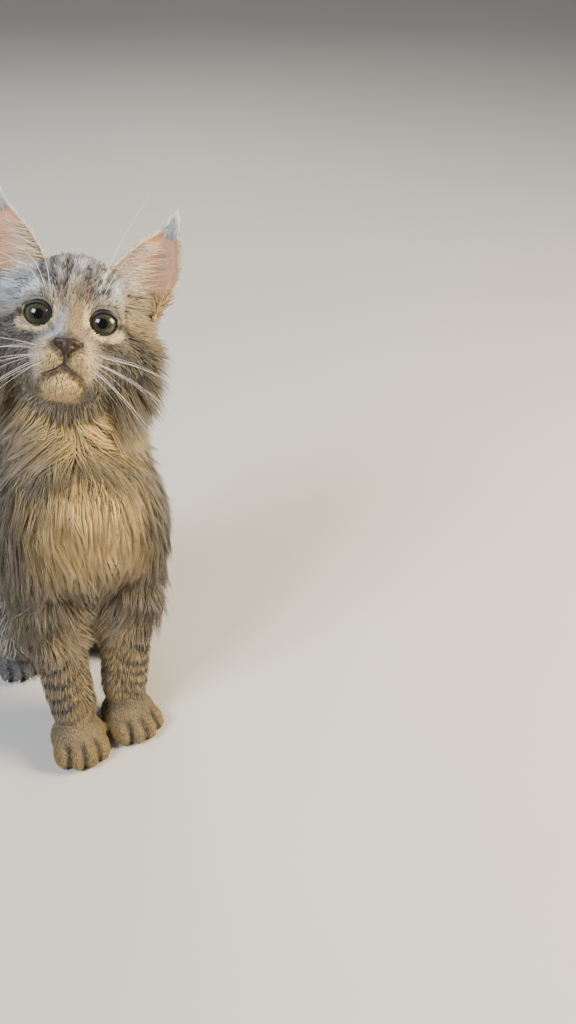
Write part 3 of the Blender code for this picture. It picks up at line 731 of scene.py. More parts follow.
def side_markings(colour, local, side):
    """One side of the face: the eye's pale ring and brow, the cheek lines, the painted shadow along the
    mouth's line, the whisker spots.
    """
    across, up = eye_space(local, side)
    turned = np.hypot(across / 1.1, up + 0.4)
    front = ramp(local[:, 1], -6, -14)
    pale = ramp(turned, 11.3, 9.0) * (0.35 + 0.65 * ramp(up + 0.5 * across, 7, -2))
    brow = ramp(turned, 11.0, 8.5) * ramp(up, 1.0, 4.0)
    colour = layered(colour, (PALE_RING, 0.95 * pale * front), (GREY, 0.75 * brow * front))
    eye = eye_centre(side)
    for *ends, width, depth in CHEEK_LINES:
        start, end = (eye + Vector((side * x, y, z)) for x, y, z in ends)
        colour = mix(colour, DARK, depth * stroke(local, start, end, width))
    tear = eye + Vector((side * -7.0, -8.0, -4.5))
    tear_end = tear + Vector((-side * 3.2, -9.5, -6.0))
    colour = mix(colour, GREY, 0.85 * stroke(local, tear, tear_end, 1.5))
    stops = mouth_stops(side)
    for start, end in zip(stops[1:], stops[2:]):
        # painted shadow along the mouth's line
        colour = mix(colour, PAINTED_MOUTH_SHADOW, 0.85 * stroke(local, start, end, 2.5))
    for row in range(WHISKER_ROWS):
        for spot in range(WHISKER_SPOTS):
            near = np.linalg.norm(local - whisker_root(side, row, spot), axis=1)
            colour = mix(colour, TAN, 0.7 * ramp(near, 1.5, 0.7))
    return colour


def whisker_root(side, row, spot):
    """A whisker's place on its pad, in the head's frame."""
    across = 8.0 + 2.6 * spot - 0.5 * row
    return np.array((side * across, -45.6 + 1.75 * spot, -12.6 - 2.9 * row - 0.35 * spot))


def body_colour(points):
    """Cream chest with a dark necklace, grey striped flanks and a dark back, with painted shade low on the
    chest between the forelegs.
    """
    x, y, z = points.T
    wide = np.abs(x)
    wobble = (noise(points, 26.0, 5) - 0.5) * 16.0
    fine = noise(points * (1.0, 1.0, 0.4), 5.0, 6)
    front = ramp(y, 62, 22)
    flank = 0.5 + 0.5 * np.sin((y * 0.75 + z * 0.30 + wobble) * 0.36)
    chest = front * ramp(wide, 46, 24)
    bright = ramp(np.abs(x - 2), 30, 8) * ramp(z, 118, 146) * ramp(z, 178, 168)
    upper = ramp(np.abs(x - 2), 32, 12) * ramp(z, 186, 194) * ramp(z, 222, 212)
    collar = 1.0 - ramp(np.abs(z + wobble * 0.5 + 0.15 * wide - 186.0), 3.0, 8.0)
    throat = 1.0 - ramp(np.abs(z + wobble * 0.4 - 228.0), 5.0, 13.0)
    side_bars = 0.5 + 0.5 * np.sin((z + wobble) * 0.30)
    belly = ramp(z, 60, 30) * ramp(y, 110, 70)
    colour = layered(
        evenly(GREY, len(points), 1.35),
        (SILVER, 0.45 * noise(points, 12.0, 9)),
        (DARK, 0.75 * ramp(flank, 0.52, 0.85) * (1 - front)),
        (DARK, 0.7 * ramp(wide, 14, 5) * ramp(y, 90, 110)),
        (BROWN_GREY, 0.8 * front),
        (CREAM, chest * (0.75 + 0.25 * fine)),
        (BRIGHT_CREAM, 0.85 * bright * front),
        (BRIGHT_CREAM, 0.5 * upper * front),
        (BROWN_GREY, 0.9 * collar * front),
        (BROWN_GREY, 0.8 * throat * front),
        # Darker fur low on the chest between the forelegs, deepened by painted shade
        (BROWN_GREY, 0.8 * ramp(z + 0.6 * wobble, 138, 108) * front),
        (DARK, 0.55 * ramp(side_bars, 0.55, 0.85) * ramp(wide, 26, 38) * front),
        (FAWN, 0.6 * belly),
    )
    locks = noise(points * (1.0, 1.0, 0.35), 6.5, 18)
    return colour * (0.68 + 0.62 * locks)[:, None]


def toe_gap_shade(points, toes):
    """1 in the gaps between neighbouring toes, where the coat is darkened as painted shade."""
    near = np.sort([toe.distance(points) for toe in toes], axis=0)
    return ramp(near[1] - near[0], 3.4, 0.8) * ramp(near[0], 7.0, 2.5) * ramp(points[:, 2], 19, 14)


def leg_colour(points, toes):
    """Buff forelegs with dark broken bars on their outer sides, and cream toes, darkened towards the floor
    and in the gaps between them as painted shade.
    """
    x, _, z = points.T
    wide = np.abs(x)
    wobble = (noise(points, 12.0, 12) - 0.5) * 9.0
    bars = 0.5 + 0.5 * np.sin((z + 0.8 * wobble + 0.45 * wide) * 0.72)
    outer = 0.6 + 0.4 * ramp(wide, 12, 24)
    return layered(
        evenly(FAWN, len(points), 0.9),
        (CREAM, 0.6 * ramp(noise(points, 8.0, 13), 0.3, 0.7)),
        (GREY, 0.45 * ramp(wide, 18, 30)),
        (DARK, 0.9 * ramp(bars, 0.5, 0.8) * outer * ramp(z, 20, 30)),
        (BROWN_GREY, 0.75 * ramp(z, 74, 92)),
        # The paws' cream, darkened as painted shade towards the floor
        (np.array(CREAM) * 0.62, 0.85 * ramp(z, 24, 13)),
        (GREY, 0.35 * ramp(z, 12, 17) * ramp(z, 27, 22)),
        # Painted shade in the gaps between the toes
        (DARK, 0.92 * toe_gap_shade(points, toes)),
    )


def thigh_colour(points, toes):
    """Grey thighs with dark bars, and bluish grey feet, darkened towards the floor and in the gaps between
    the toes as painted shade.
    """
    _, y, z = points.T
    wobble = (noise(points, 22.0, 14) - 0.5) * 18.0
    bars = 0.5 + 0.5 * np.sin((z + 0.5 * y + wobble) * 0.34)
    return layered(
        evenly(GREY, len(points), 1.3),
        (SILVER, 0.5 * noise(points, 10.0, 15)),
        (DARK, 0.75 * ramp(bars, 0.5, 0.85) * ramp(z, 16, 26)),
        # The feet's own grey, darker as painted shade towards the floor
        (FOOT_GREY, 0.85 * ramp(z, 26, 16)),
        # Painted shade in the gaps between the toes
        (DARK, 0.9 * toe_gap_shade(points, toes)),
    )


def tail_colour(points):
    """Grey with dark rings and a dark end."""
    steps = [np.linalg.norm(points[:, :2] - np.array(stop), axis=1) for stop in TAIL_PATH]
    along = np.argmin(steps, axis=0) + 0.02 * steps[0]
    rings = 0.5 + 0.5 * np.sin(steps[0] * 0.28 + (noise(points, 14.0, 16) - 0.5) * 2.0)
    return layered(
        evenly(GREY, len(points), 1.4),
        (SILVER, 0.4 * noise(points, 9.0, 17)),
        (DARK, 0.8 * ramp(rings, 0.5, 0.8)),
        (DARK, 0.85 * ramp(along, 5.5, 7.0)),
    )


def markings(points):
    """The coat's colour at any place on the body, blended where its regions meet."""
    fields = np.array([form.distance(points) for form in FORMS])
    body = body_colour(points)
    colours = [body, body, head_colour(points)]
    colours += [leg_colour(points, foreleg_toes(side)) for side in (-1, 1)]
    colours += [thigh_colour(points, hindleg_toes(side)) for side in (-1, 1)]
    colours.append(tail_colour(points))
    softness = np.array((6, 5, 4, 4, 4, 5, 5, 4))[:, None]
    weights = np.exp(-np.clip(fields - fields.min(axis=0), 0, 60) / softness)
    weights /= weights.sum(axis=0)
    return sum(weight[:, None] * colour for weight, colour in zip(weights, colours))


# Materials


def new_material(name):
    made = bpy.data.materials.new(name)
    made.use_nodes = True
    return made, made.node_tree.nodes, made.node_tree.links, made.node_tree.nodes["Principled BSDF"]


def multiply(nodes, links, first, second, name):
    step = nodes.new("ShaderNodeMix")
    step.name = name
    step.data_type = "RGBA"
    step.blend_type = "MULTIPLY"
    step.inputs["Factor"].default_value = 1.0
    links.new(first, step.inputs["A"])
    links.new(second, step.inputs["B"])
    return step.outputs["Result"]


def set_inputs(node, values):
    for name, value in values.items():
        node.inputs[name].default_value = value


def graded(nodes, links, value, low, high, to_low, to_high):
    """A value moved from one range to another."""
    grade = nodes.new("ShaderNodeMapRange")
    set_inputs(grade, {"From Min": low, "From Max": high, "To Min": to_low, "To Max": to_high})
    links.new(value, grade.inputs["Value"])
    return grade.outputs["Result"]


def noise_colour(nodes, links, scale, low, high, stretch=(1, 1, 1)):
    """A noise pattern on Object coordinates: as a grey between two values, and as it is."""
    place = nodes.new("ShaderNodeTexCoord")
    turn = nodes.new("ShaderNodeMapping")
    turn.inputs["Scale"].default_value = stretch
    pattern = nodes.new("ShaderNodeTexNoise")
    set_inputs(pattern, {"Scale": scale, "Detail": 4.0})
    links.new(place.outputs["Object"], turn.inputs["Vector"])
    links.new(turn.outputs["Vector"], pattern.inputs["Vector"])
    return graded(nodes, links, pattern.outputs["Fac"], 0.3, 0.7, low, high), pattern.outputs["Fac"]


def add_bump(nodes, links, shader, height, strength, distance):
    bump = nodes.new("ShaderNodeBump")
    set_inputs(bump, {"Strength": strength, "Distance": distance})
    links.new(height, bump.inputs["Height"])
    links.new(bump.outputs["Normal"], shader.inputs["Normal"])


def painted_material(name, label, pattern, look, bump=None):
    """The painted markings, varied by a noise pattern that may also raise the surface."""
    made, nodes, links, shader = new_material(name)
    painted = nodes.new("ShaderNodeAttribute")
    painted.attribute_name = "coat_colour"
    grey, height = noise_colour(nodes, links, *pattern)
    colour = multiply(nodes, links, painted.outputs["Color"], grey, label)
    links.new(colour, shader.inputs["Base Color"])
    set_inputs(shader, look)
    if bump:
        add_bump(nodes, links, shader, height, *bump)
    return made


def coat_material(name, roughness, sheen):
    """Hair: the painted markings, varied by fine noise, with a soft sheen."""
    look = {
        "Roughness": roughness,
        "Specular IOR Level": 0.28,
        "Sheen Weight": sheen,
        "Sheen Roughness": 0.45,
    }
    return painted_material(name, "hair_variation", (900.0, 0.86, 1.12, (1, 1, 0.3)), look)


def skin_material():
    pattern = (600.0, 0.6, 1.05, (1, 1, 0.25))
    return painted_material("skin_under_coat", "skin_variation", pattern, {"Roughness": 0.8}, (0.5, 0.0006))


def ear_material():
    """Thin skin that lets some light through."""
    look = {
        "Roughness": 0.55,
        "Subsurface Weight": 0.35,
        "Subsurface Radius": (0.004, 0.0015, 0.001),
        "Subsurface Scale": 1.0,
    }
    return painted_material("ear_skin", "ear_variation", (260.0, 0.82, 1.1), look, (0.25, 0.0003))


def leather_material(name, colour, dark, roughness, scale):
    """Bare wet skin, such as the nose and lips: pebbled, with darker blotches."""
    made, nodes, links, shader = new_material(name)
    grade = nodes.new("ShaderNodeMix")
    grade.data_type = "RGBA"
    set_inputs(grade, {"A": (*dark, 1), "B": (*colour, 1)})
    share, _ = noise_colour(nodes, links, scale * 0.35, 0.0, 1.0)
    links.new(share, grade.inputs["Factor"])
    links.new(grade.outputs["Result"], shader.inputs["Base Color"])
    place = nodes.new("ShaderNodeTexCoord")
    pebbles = nodes.new("ShaderNodeTexVoronoi")
    pebbles.inputs["Scale"].default_value = scale
    links.new(place.outputs["Object"], pebbles.inputs["Vector"])
    add_bump(nodes, links, shader, pebbles.outputs["Distance"], 0.35, 0.0002)
    look = {"Roughness": roughness, "Subsurface Weight": 0.15, "Subsurface Radius": (0.002, 0.0008, 0.0006)}
    set_inputs(shader, look)
    return made


def vector_step(nodes, links, operation, source, other=None):
    """A vector operation on a socket, with a fixed second value if it takes one."""
    step = nodes.new("ShaderNodeVectorMath")
    step.operation = operation
    links.new(source, step.inputs[0])
    if other is not None:
        step.inputs[1].default_value = other
    return step.outputs


def eye_material(name, side, gaze):
    """A glass eye: dark pupil, olive-grey iris with fibres, a dark outer ring and a wet surface."""
    made, nodes, links, shader = new_material(name)
    centre = (from_head([eye_centre(side)])[0] + np.array(TO_FRAME)) * MM
    axis = Vector(head_turned([gaze])[0]).normalized()
    place = nodes.new("ShaderNodeTexCoord")
    offset = vector_step(nodes, links, "SUBTRACT", place.outputs["Object"], centre)["Vector"]
    outward = vector_step(nodes, links, "NORMALIZE", offset)["Vector"]
    ahead = vector_step(nodes, links, "DOT_PRODUCT", outward, axis)["Value"]
    angle = nodes.new("ShaderNodeMath")
    angle.operation = "ARCCOSINE"
    links.new(ahead, angle.inputs[0])
    ring = nodes.new("ShaderNodeValToRGB")
    links.new(graded(nodes, links, angle.outputs["Value"], 0.0, EYE_EDGE, 0.0, 1.0), ring.inputs["Fac"])
    bands = ring.color_ramp.elements
    bands[0].position, bands[1].position = 0.0, 1.0
    for position, _ in EYE_RINGS[1:-1]:
        bands.new(position)
    for band, (_, colour) in zip(bands, EYE_RINGS):
        band.color = (*colour, 1)
    fibres = nodes.new("ShaderNodeTexNoise")
    set_inputs(fibres, {"Scale": 14.0, "Detail": 5.0})
    links.new(outward, fibres.inputs["Vector"])
    grey = graded(nodes, links, fibres.outputs["Fac"], 0.35, 0.65, 0.65, 1.25)
    colour = multiply(nodes, links, ring.outputs["Color"], grey, "iris_fibres")
    links.new(colour, shader.inputs["Base Color"])
    look = {"Roughness": 0.12, "Specular IOR Level": 0.25, "Coat Weight": 0.35, "Coat Roughness": 0.02}
    set_inputs(shader, look)
    return made


def plain_material(name, label, colour, pattern, roughness):
    """One colour with faint patches of a noise pattern."""
    made, nodes, links, shader = new_material(name)
    share, _ = noise_colour(nodes, links, *pattern)
    tint = nodes.new("ShaderNodeRGB")
    tint.outputs["Color"].default_value = (*colour, 1)
    tone = multiply(nodes, links, tint.outputs["Color"], share, label)
    links.new(tone, shader.inputs["Base Color"])
    shader.inputs["Roughness"].default_value = roughness
    return made


MATERIALS = {}


def finish_of(name):
    """One material of each kind, made when it is first asked for."""
    makers = {
        "coat": lambda: coat_material("coat_hair", 0.62, 0.25),
        "face": lambda: coat_material("face_hair", 0.68, 0.18),
        "white_hair": lambda: coat_material("white_hair", 0.45, 0.2),
        "skin": skin_material,
        "ear": ear_material,
        "nose": lambda: leather_material("nose_leather", *NOSE_LEATHER, 0.5, 1500.0),
        "lip": lambda: leather_material("dark_lip", *LIP_LEATHER, 0.55, 900.0),
        "horn": lambda: plain_material("claw_horn", "horn_layers", HORN, (500.0, 0.75, 1.0), 0.3),
        "floor": lambda: plain_material("studio_floor", "floor_tone", FLOOR, (3.0, 0.97, 1.02), 0.7),
    }
    if name not in MATERIALS:
        MATERIALS[name] = makers[name]()
    return MATERIALS[name]


# Coat


SKIN = {}


def tree_of(points):
    tree = KDTree(len(points))
    for index, point in enumerate(points):
        tree.insert(point, index)
    tree.balance()
    return tree


def remember_skin(obj):
    """Keeps the skin's corners, normals and triangles, for the coat to root in and lie along."""
    mesh = obj.data
    mesh.calc_loop_triangles()
    points = corners_of(mesh)
    triangles = np.empty(len(mesh.loop_triangles) * 3, np.int64)
    mesh.loop_triangles.foreach_get("vertices", triangles)
    triangles = triangles.reshape(-1, 3)
    first, second, third = (points[triangles[:, corner]] for corner in range(3))
    centres = (first + second + third) / 3
    areas = np.linalg.norm(np.cross(second - first, third - first), axis=1) / 2
    fields = np.array([form.distance(centres) for form in FORMS])
    SKIN.update(
        points=points,
        normals=normals_of(mesh),
        triangles=triangles,
        centres=centres,
        areas=areas,
        region=np.argmin(fields, axis=0),
        tree=tree_of(points),
    )


def nearest_skin(points):
    """The nearest corner of the skin to each point, with its normal."""
    find = SKIN["tree"].find
    found = np.fromiter((find(point)[1] for point in points), np.int64, len(points))
    return SKIN["points"][found], SKIN["normals"][found]


def scatter(count, weights, rng):
    """Roots on the skin, more of them where the weights of its triangles are larger."""
    share = SKIN["areas"] * weights
    chosen = rng.choice(len(share), size=count, p=share / share.sum())
    first = np.sqrt(rng.random(count))
    second = rng.random(count)
    corners = np.stack([1 - first, first * (1 - second), first * second], axis=1)
    triangle = SKIN["triangles"][chosen]
    roots = (SKIN["points"][triangle] * corners[:, :, None]).sum(axis=1)
    normals = unit((SKIN["normals"][triangle] * corners[:, :, None]).sum(axis=1))
    return roots, normals


def march(roots, normals, lie, lengths, lifts, steps, sink=0.6):
    """Paths that leave the skin at their roots, follow the lie over it and lift towards their tips."""
    line = [roots - normals * sink]
    facing = [normals]
    point = roots
    normal = normals
    for index in range(1, steps + 1):
        ahead = lie(point)
        ahead = unit(ahead - normal * (ahead * normal).sum(axis=1, keepdims=True))
        point = point + ahead * (lengths / steps)[:, None]
        near, normal = nearest_skin(point)
        point = point - normal * ((point - near) * normal).sum(axis=1, keepdims=True)
        line.append(point + normal * (lifts * (index / steps) ** 0.85)[:, None])
        facing.append(normal)
    return np.stack(line, axis=1), np.stack(facing, axis=1)


def gather(paths, roots, spacing, strength, rng):
    """Bends the tips of hairs towards the nearest of fewer leading hairs, so that they form locks."""
    count = max(1, int(len(roots) / spacing))
    leaders = rng.choice(len(roots), size=count, replace=False)
    tree = tree_of(roots[leaders])
    nearest = leaders[np.fromiter((tree.find(root)[1] for root in roots), np.int64, len(roots))]
    share = np.linspace(0, 1, paths.shape[1]) ** 1.3 * strength
    return paths + (paths[nearest] - paths) * share[None, :, None]


TUFT_THICKNESS = 0.55


def tuft_arrays(paths, facings, widths, profile):
    """Three-sided tufts along paths, each closed by a base and a point."""
    count, stops = paths.shape[:2]
    rings = stops - 1
    ahead = np.empty_like(paths)
    ahead[:, 1:-1] = paths[:, 2:] - paths[:, :-2]
    ahead[:, 0] = paths[:, 1] - paths[:, 0]
    ahead[:, -1] = paths[:, -1] - paths[:, -2]
    ahead = unit(ahead)
    side = unit(np.cross(ahead, facings))
    up = np.cross(side, ahead)
    half = widths[:, None, None] * np.array(profile)[None, :, None] / 2
    body = paths[:, :rings]
    corners = [
        body + side[:, :rings] * half,
        body + up[:, :rings] * half * TUFT_THICKNESS,
        body - side[:, :rings] * half,
    ]
    ring = np.stack(corners, axis=2).reshape(count, rings * 3, 3)
    points = np.concatenate([ring, paths[:, -1:, :]], axis=1)
    per = rings * 3 + 1
    bands = [band_faces(row * 3, row * 3 + 3, 3) for row in range(rings - 1)]
    quads = [(first, fourth, third, second) for band in bands for first, second, third, fourth in band]
    last = (rings - 1) * 3
    tris = [(last + corner, per - 1, last + (corner + 1) % 3) for corner in range(3)]
    tris.append((0, 1, 2))
    base = (np.arange(count) * per)[:, None, None]
    return points, base + np.array(quads), base + np.array(tris)


def build_tufts(name, paths, facings, widths, colours, unwrap, profile, shades=None):
    """One mesh object of many tufts, with the OFBake map and a colour for each corner, with painted shade
    at the root and painted light at the tip.
    """
    points, quads, tris = tuft_arrays(paths, facings, widths, profile)
    count, per = points.shape[:2]
    rings = (per - 1) // 3
    # Painted shade towards the roots and painted light at the tips
    shades = np.array(shades or np.linspace(0.7, 1.12, rings + 1))
    painted_corner_shade = np.append(np.repeat(shades[:rings], 3), shades[rings])
    tint = (colours[:, None, :] * painted_corner_shade[None, :, None]).reshape(-1, 3)
    mesh = bpy.data.meshes.new(name)
    loops = np.concatenate([quads.reshape(count, -1), tris.reshape(count, -1)], axis=1)
    sizes = np.tile([4] * quads.shape[1] + [3] * tris.shape[1], count)
    starts = np.concatenate([[0], np.cumsum(sizes)[:-1]])
    mesh.vertices.add(count * per)
    mesh.vertices.foreach_set("co", points.ravel())
    mesh.loops.add(loops.size)
    mesh.loops.foreach_set("vertex_index", loops.ravel().astype(np.int32))
    mesh.polygons.add(len(sizes))
    mesh.polygons.foreach_set("loop_start", starts.astype(np.int32))
    mesh.update(calc_edges=True)
    layer = mesh.uv_layers.new(name="OFBake")
    side = np.append(np.tile([-0.0012, 0.0, 0.0012], rings), 0.0)
    rise = np.append(np.repeat(np.linspace(0.0, 0.0024, rings), 3), 0.003)
    patch = np.stack([side, rise], axis=1)
    spots = (unwrap[:, None, :] + patch[None, :, :]).reshape(-1, 2)
    spots = np.clip(spots, 0.0005, 0.9995)
    layer.data.foreach_set("uv", spots[loops.ravel()].ravel().astype(np.float32))
    paint(mesh, tint)
    return placed_object(name, mesh)


def tufts_in_pieces(name, slot, material, most, paths, facings, widths, colours, unwrap, profile, **style):
    """Finished tufts, cut along the unwrap into pieces of at most a number of tufts each."""
    order = np.argsort(unwrap[:, 0], kind="stable")
    parts = max(1, math.ceil(len(order) / most))
    for index, chosen in enumerate(np.array_split(order, parts)):
        spots = unwrap[chosen].copy()
        low, high = spots[:, 0].min(), spots[:, 0].max()
        spots[:, 0] = 0.01 + 0.98 * (spots[:, 0] - low) / max(high - low, 1e-6)
        label = f"{name}_{index + 1}" if parts > 1 else name
        hair = (values[chosen] for values in (paths, facings, widths, colours))
        finish_piece(build_tufts(label, *hair, spots, profile, **style), finish_of(material))


def round_unwrap(points, centre, low, high):
    """Places round an upright axis: the angle across, the height up."""
    across = np.arctan2(points[:, 1] - centre[1], points[:, 0] - centre[0]) / (2 * math.pi) + 0.5
    return np.stack([across, np.clip((points[:, 2] - low) / (high - low), 0.004, 0.99)], axis=1)


def ball_unwrap(points):
    """Places on the head as on a globe whose poles are at its sides, in the head's frame."""
    local = in_head(points) - np.array((0, 5, 0))
    turn = np.arctan2(local[:, 2], local[:, 1]) / (2 * math.pi)
    lean = np.arcsin(np.clip(unit(local)[:, 0], -1, 1)) / math.pi + 0.5
    return np.stack([turn % 1.0, np.clip(lean, 0.004, 0.99)], axis=1)


def varied(colours, rng, amount=0.16):
    """Each hair a little lighter, darker, warmer or cooler than its neighbours."""
    count = len(colours)
    light = np.exp(rng.normal(0, 1, count) * amount)
    warm = rng.normal(0, 0.025, count)
    tint = np.stack([1 + warm, np.ones(count), 1 - warm], axis=1)
    return np.clip(colours * light[:, None] * tint, 0.004, 0.9)


def face_lie(points):
    """Away from the nose over the face, out and down over the cheeks, back over the crown."""
    local = in_head(points)
    away = unit(local - np.array((0.0, -44.0, -5.0)))
    low = ramp(local[:, 2], 4, -22)
    side = ramp(np.abs(local[:, 0]), 12, 26)
    away[:, 2] -= 0.75 * low * side
    away[:, 0] += 0.25 * np.sign(local[:, 0]) * side
    away[:, 1] += 0.35 * (1 - side)
    chin = ramp(local[:, 2], -20, -28) * ramp(local[:, 1], -10, -22)
    away[:, 2] -= 0.9 * chin
    swirl = noise(local, 10.0, 21) - 0.5
    away[:, 0] += 0.35 * swirl
    away[:, 2] += 0.25 * (noise(local, 9.0, 22) - 0.5)
    return head_turned(away)


def face_length(local):
    """Hair lengths on the head, in millimetres: shortest on the nose, longest behind the cheeks."""
    x, y, z = local.T
    wide = np.abs(x)
    nose = np.linalg.norm(local - np.array(NOSE_TIP), axis=1)
    length = 2.4 + 4.6 * ramp(nose, 8, 40)
    eye = np.min([np.hypot(*eye_space(local, side)) for side in (-1, 1)], axis=0)
    length *= 0.5 + 0.5 * ramp(eye, 8, 16)
    length += 4.0 * ramp(y, -8, 16) + 2.0 * ramp(z, -21, -27)
    length += 5.0 * ramp(wide, 19, 27) * ramp(y, -20, -8)
    ruff = ramp(wide, 22, 33) * ramp(z, 12, -8) * ramp(y, -22, -2)
    length += 13.0 * ruff
    jaw = ramp(z, -18, -30) * ramp(y, -24, 0)
    return length + 7.0 * jaw


def clear_of_face(points):
    """Where hair may grow: off the eyes, the nose leather and the line of the mouth."""
    local = in_head(points)
    keep = NOSE.distance(points) > 0.35
    for side in (-1, 1):
        keep &= lid_opening(side).distance(local) > 0.9
        keep &= tear_corner(side).distance(local) > 0.3
        for limb in mouth_limbs(side, 0.9):
            keep &= limb.distance(local) > 0.35
    return keep


def long_lie(points):
    """Down the chest and towards its middle, down and back along the flanks, with slow waves."""
    x, y, z = points.T
    front = ramp(y, 62, 10)
    low = ramp(z, 130, 70)
    high = ramp(z, 185, 205) * front
    swirl = (noise(points, 28.0, 31) - 0.5) * 1.3 + (noise(points, 9.0, 32) - 0.5) * (0.9 + 0.8 * high)
    parting = np.clip((x - 3.0) / 12.0, -1, 1)
    across = front * (0.25 * high * parting - 0.45 * low * np.clip(x / 15, -1, 1))
    across = across + swirl * (0.45 + 0.65 * high)
    return unit(np.stack([across, 0.45 * (1 - front) + 0.2 * high, -1.0 + 0.45 * high], axis=1))


def leg_lie(points):
    """Down the forelegs, inwards where they face each other, and forward over the toes."""
    toe = ramp(points[:, 2], 26, 12)
    inner = ramp(np.abs(points[:, 0]), 15, 8) * ramp(points[:, 2], 25, 45)
    inner = np.maximum(inner, ramp(points[:, 2], 66, 88))
    lie = np.stack([-0.5 * inner * np.sign(points[:, 0]), -1.1 * toe, -1.0 + 0.3 * toe], axis=1)
    lie[:, 0] += (noise(points, 10.0, 33) - 0.5) * 0.5
    return unit(lie)


def thigh_lie(points):
    """Down and back along the thighs, and forward over the toes."""
    toe = ramp(points[:, 2], 24, 12)
    lie = np.stack([np.zeros_like(toe), 0.55 - 1.5 * toe, -0.85 + 0.3 * toe], axis=1)
    lie[:, 0] += (noise(points, 16.0, 34) - 0.5) * 0.5
    return unit(lie)


def tail_lie(points):
    """Along the tail towards its end."""
    stops = np.array([tail_stop(stop) for stop in range(len(TAIL_PATH))])
    away = np.linalg.norm(points[:, None, :] - stops[None], axis=2)
    nearest = np.clip(np.argmin(away, axis=1), 0, len(stops) - 2)
    return unit(stops[nearest + 1] - stops[nearest])


def long_length(points):
    """Lengths of the body coat, in millimetres."""
    x, y, z = points.T
    front = ramp(y, 66, 20)
    chest = front * ramp(z, 70, 110)
    length = 24.0 + 13.0 * chest + 15.0 * ramp(z, 140, 112) * ramp(np.abs(x), 28, 8) * front
    return length - 8.0 * ramp(z, 215, 240)


def body_weights(names, density=None):
    """1 for the skin's triangles in the named regions, times a density over them, and 0 elsewhere."""
    chosen = [index for index, name in enumerate(REGIONS) if name in names]
    weights = np.isin(SKIN["region"], chosen).astype(float)
    if density is not None:
        weights *= density(SKIN["centres"])
    return weights


def count_of(number):
    return number


def grow_long(name, slot, regions, density, number, size, lift, lie, centre, steps=2, gather_by=0.6):
    """A long coat over some regions, gathered into locks and waved.

    The size is a function for the hairs' lengths and their width; the centre is the unwrap's axis.
    """
    rng = np.random.default_rng(SEEDS[name])
    roots, normals = scatter(count_of(number), body_weights(regions, density), rng)
    lengths = size[0](roots) * rng.uniform(0.65, 1.25, len(roots))
    lifts = lift * lengths * rng.uniform(0.35, 1.2, len(roots))
    hanging = ramp(roots[:, 2], 140, 112) * ramp(np.abs(roots[:, 0]), 26, 10) * ramp(roots[:, 1], 60, 30)
    lifts += 0.28 * lengths * hanging * (roots[:, 2] > 85)
    lifts *= 0.45 + 0.55 * ramp(roots[:, 2], 16, 40)
    paths, facings = march(roots, normals, lie, lengths, lifts, steps)
    wave = np.sin(np.linspace(0, 2.2, steps + 1)[None] * math.pi + noise(roots, 9.0, 41)[:, None] * 12.0)
    side = np.cross(paths[:, -1] - paths[:, 0], facings[:, 0])
    sway = wave * np.linspace(0, 1, steps + 1)[None] * (lengths * 0.075)[:, None]
    paths = paths + unit(side)[:, None, :] * sway[:, :, None]
    paths = gather(paths, roots, 14, gather_by, rng)
    paths[:, :, 2] = np.maximum(paths[:, :, 2], 1.0)
    colours = varied(markings((paths[:, 1] + paths[:, 2]) / 2), rng, 0.11)
    widths = size[1] * (0.6 + 0.4 * ramp(lengths, 3, 9)) * rng.uniform(0.7, 1.25, len(roots))
    unwrap = round_unwrap(roots, centre, 0.0, 270.0)
    most = PIECE_TRIANGLES // (6 * steps - 2)
    profile = (0.9, 1.0, 0.85)[:steps]
    tufts_in_pieces(name, slot, "coat", most, paths, facings, widths, colours, unwrap, profile)


# Operators


def check_made(made, what):
    if not made or not len(made.data.polygons):
        raise RuntimeError(f"{what} came out empty")


class KittenSettings(bpy.types.PropertyGroup):
    """Sizes of the kitten's pieces that may be changed."""

    skin_face: bpy.props.FloatProperty(
        name="Skin face", description="Size of the skin's faces", default=0.0019, unit="LENGTH"
    )
    face_tufts: bpy.props.IntProperty(
        name="Face tufts", description="Number of tufts of short hair on the head", default=41000
    )
    chest_tufts: bpy.props.IntProperty(
        name="Chest tufts", description="Number of long hairs on the neck and chest", default=46000
    )
    flank_tufts: bpy.props.IntProperty(
        name="Flank tufts", description="Number of long hairs on the flanks and back", default=13000
    )
    ruff_tufts: bpy.props.IntProperty(
        name="Ruff tufts", description="Number of long hairs behind the cheeks", default=9500
    )
    leg_tufts: bpy.props.IntProperty(
        name="Leg tufts", description="Number of tufts on the legs and feet", default=25000
    )
    tail_tufts: bpy.props.IntProperty(
        name="Tail tufts", description="Number of long hairs on the tail", default=4000
    )


class StageSettings(bpy.types.PropertyGroup):
    """The camera's place, aim, roll and lens."""

    camera_place: bpy.props.FloatVectorProperty(
        name="Camera place",
        description="Where the camera stands",
        default=(-0.0858, -0.6450, 0.528),
        subtype="TRANSLATION",
        unit="LENGTH",
    )
    camera_aim: bpy.props.FloatVectorProperty(
        name="Camera aim",
        description="The point that the camera looks at",
        default=(0.1594, -0.0508, 0.1136),
        subtype="TRANSLATION",
        unit="LENGTH",
    )
    camera_roll: bpy.props.FloatProperty(
        name="Camera roll",
        description="How far the camera is turned about its own axis",
        default=math.radians(1.22),
        subtype="ANGLE",
    )
    camera_lens: bpy.props.FloatProperty(
        name="Lens", description="Focal length of the camera, in millimetres", default=43.1
    )


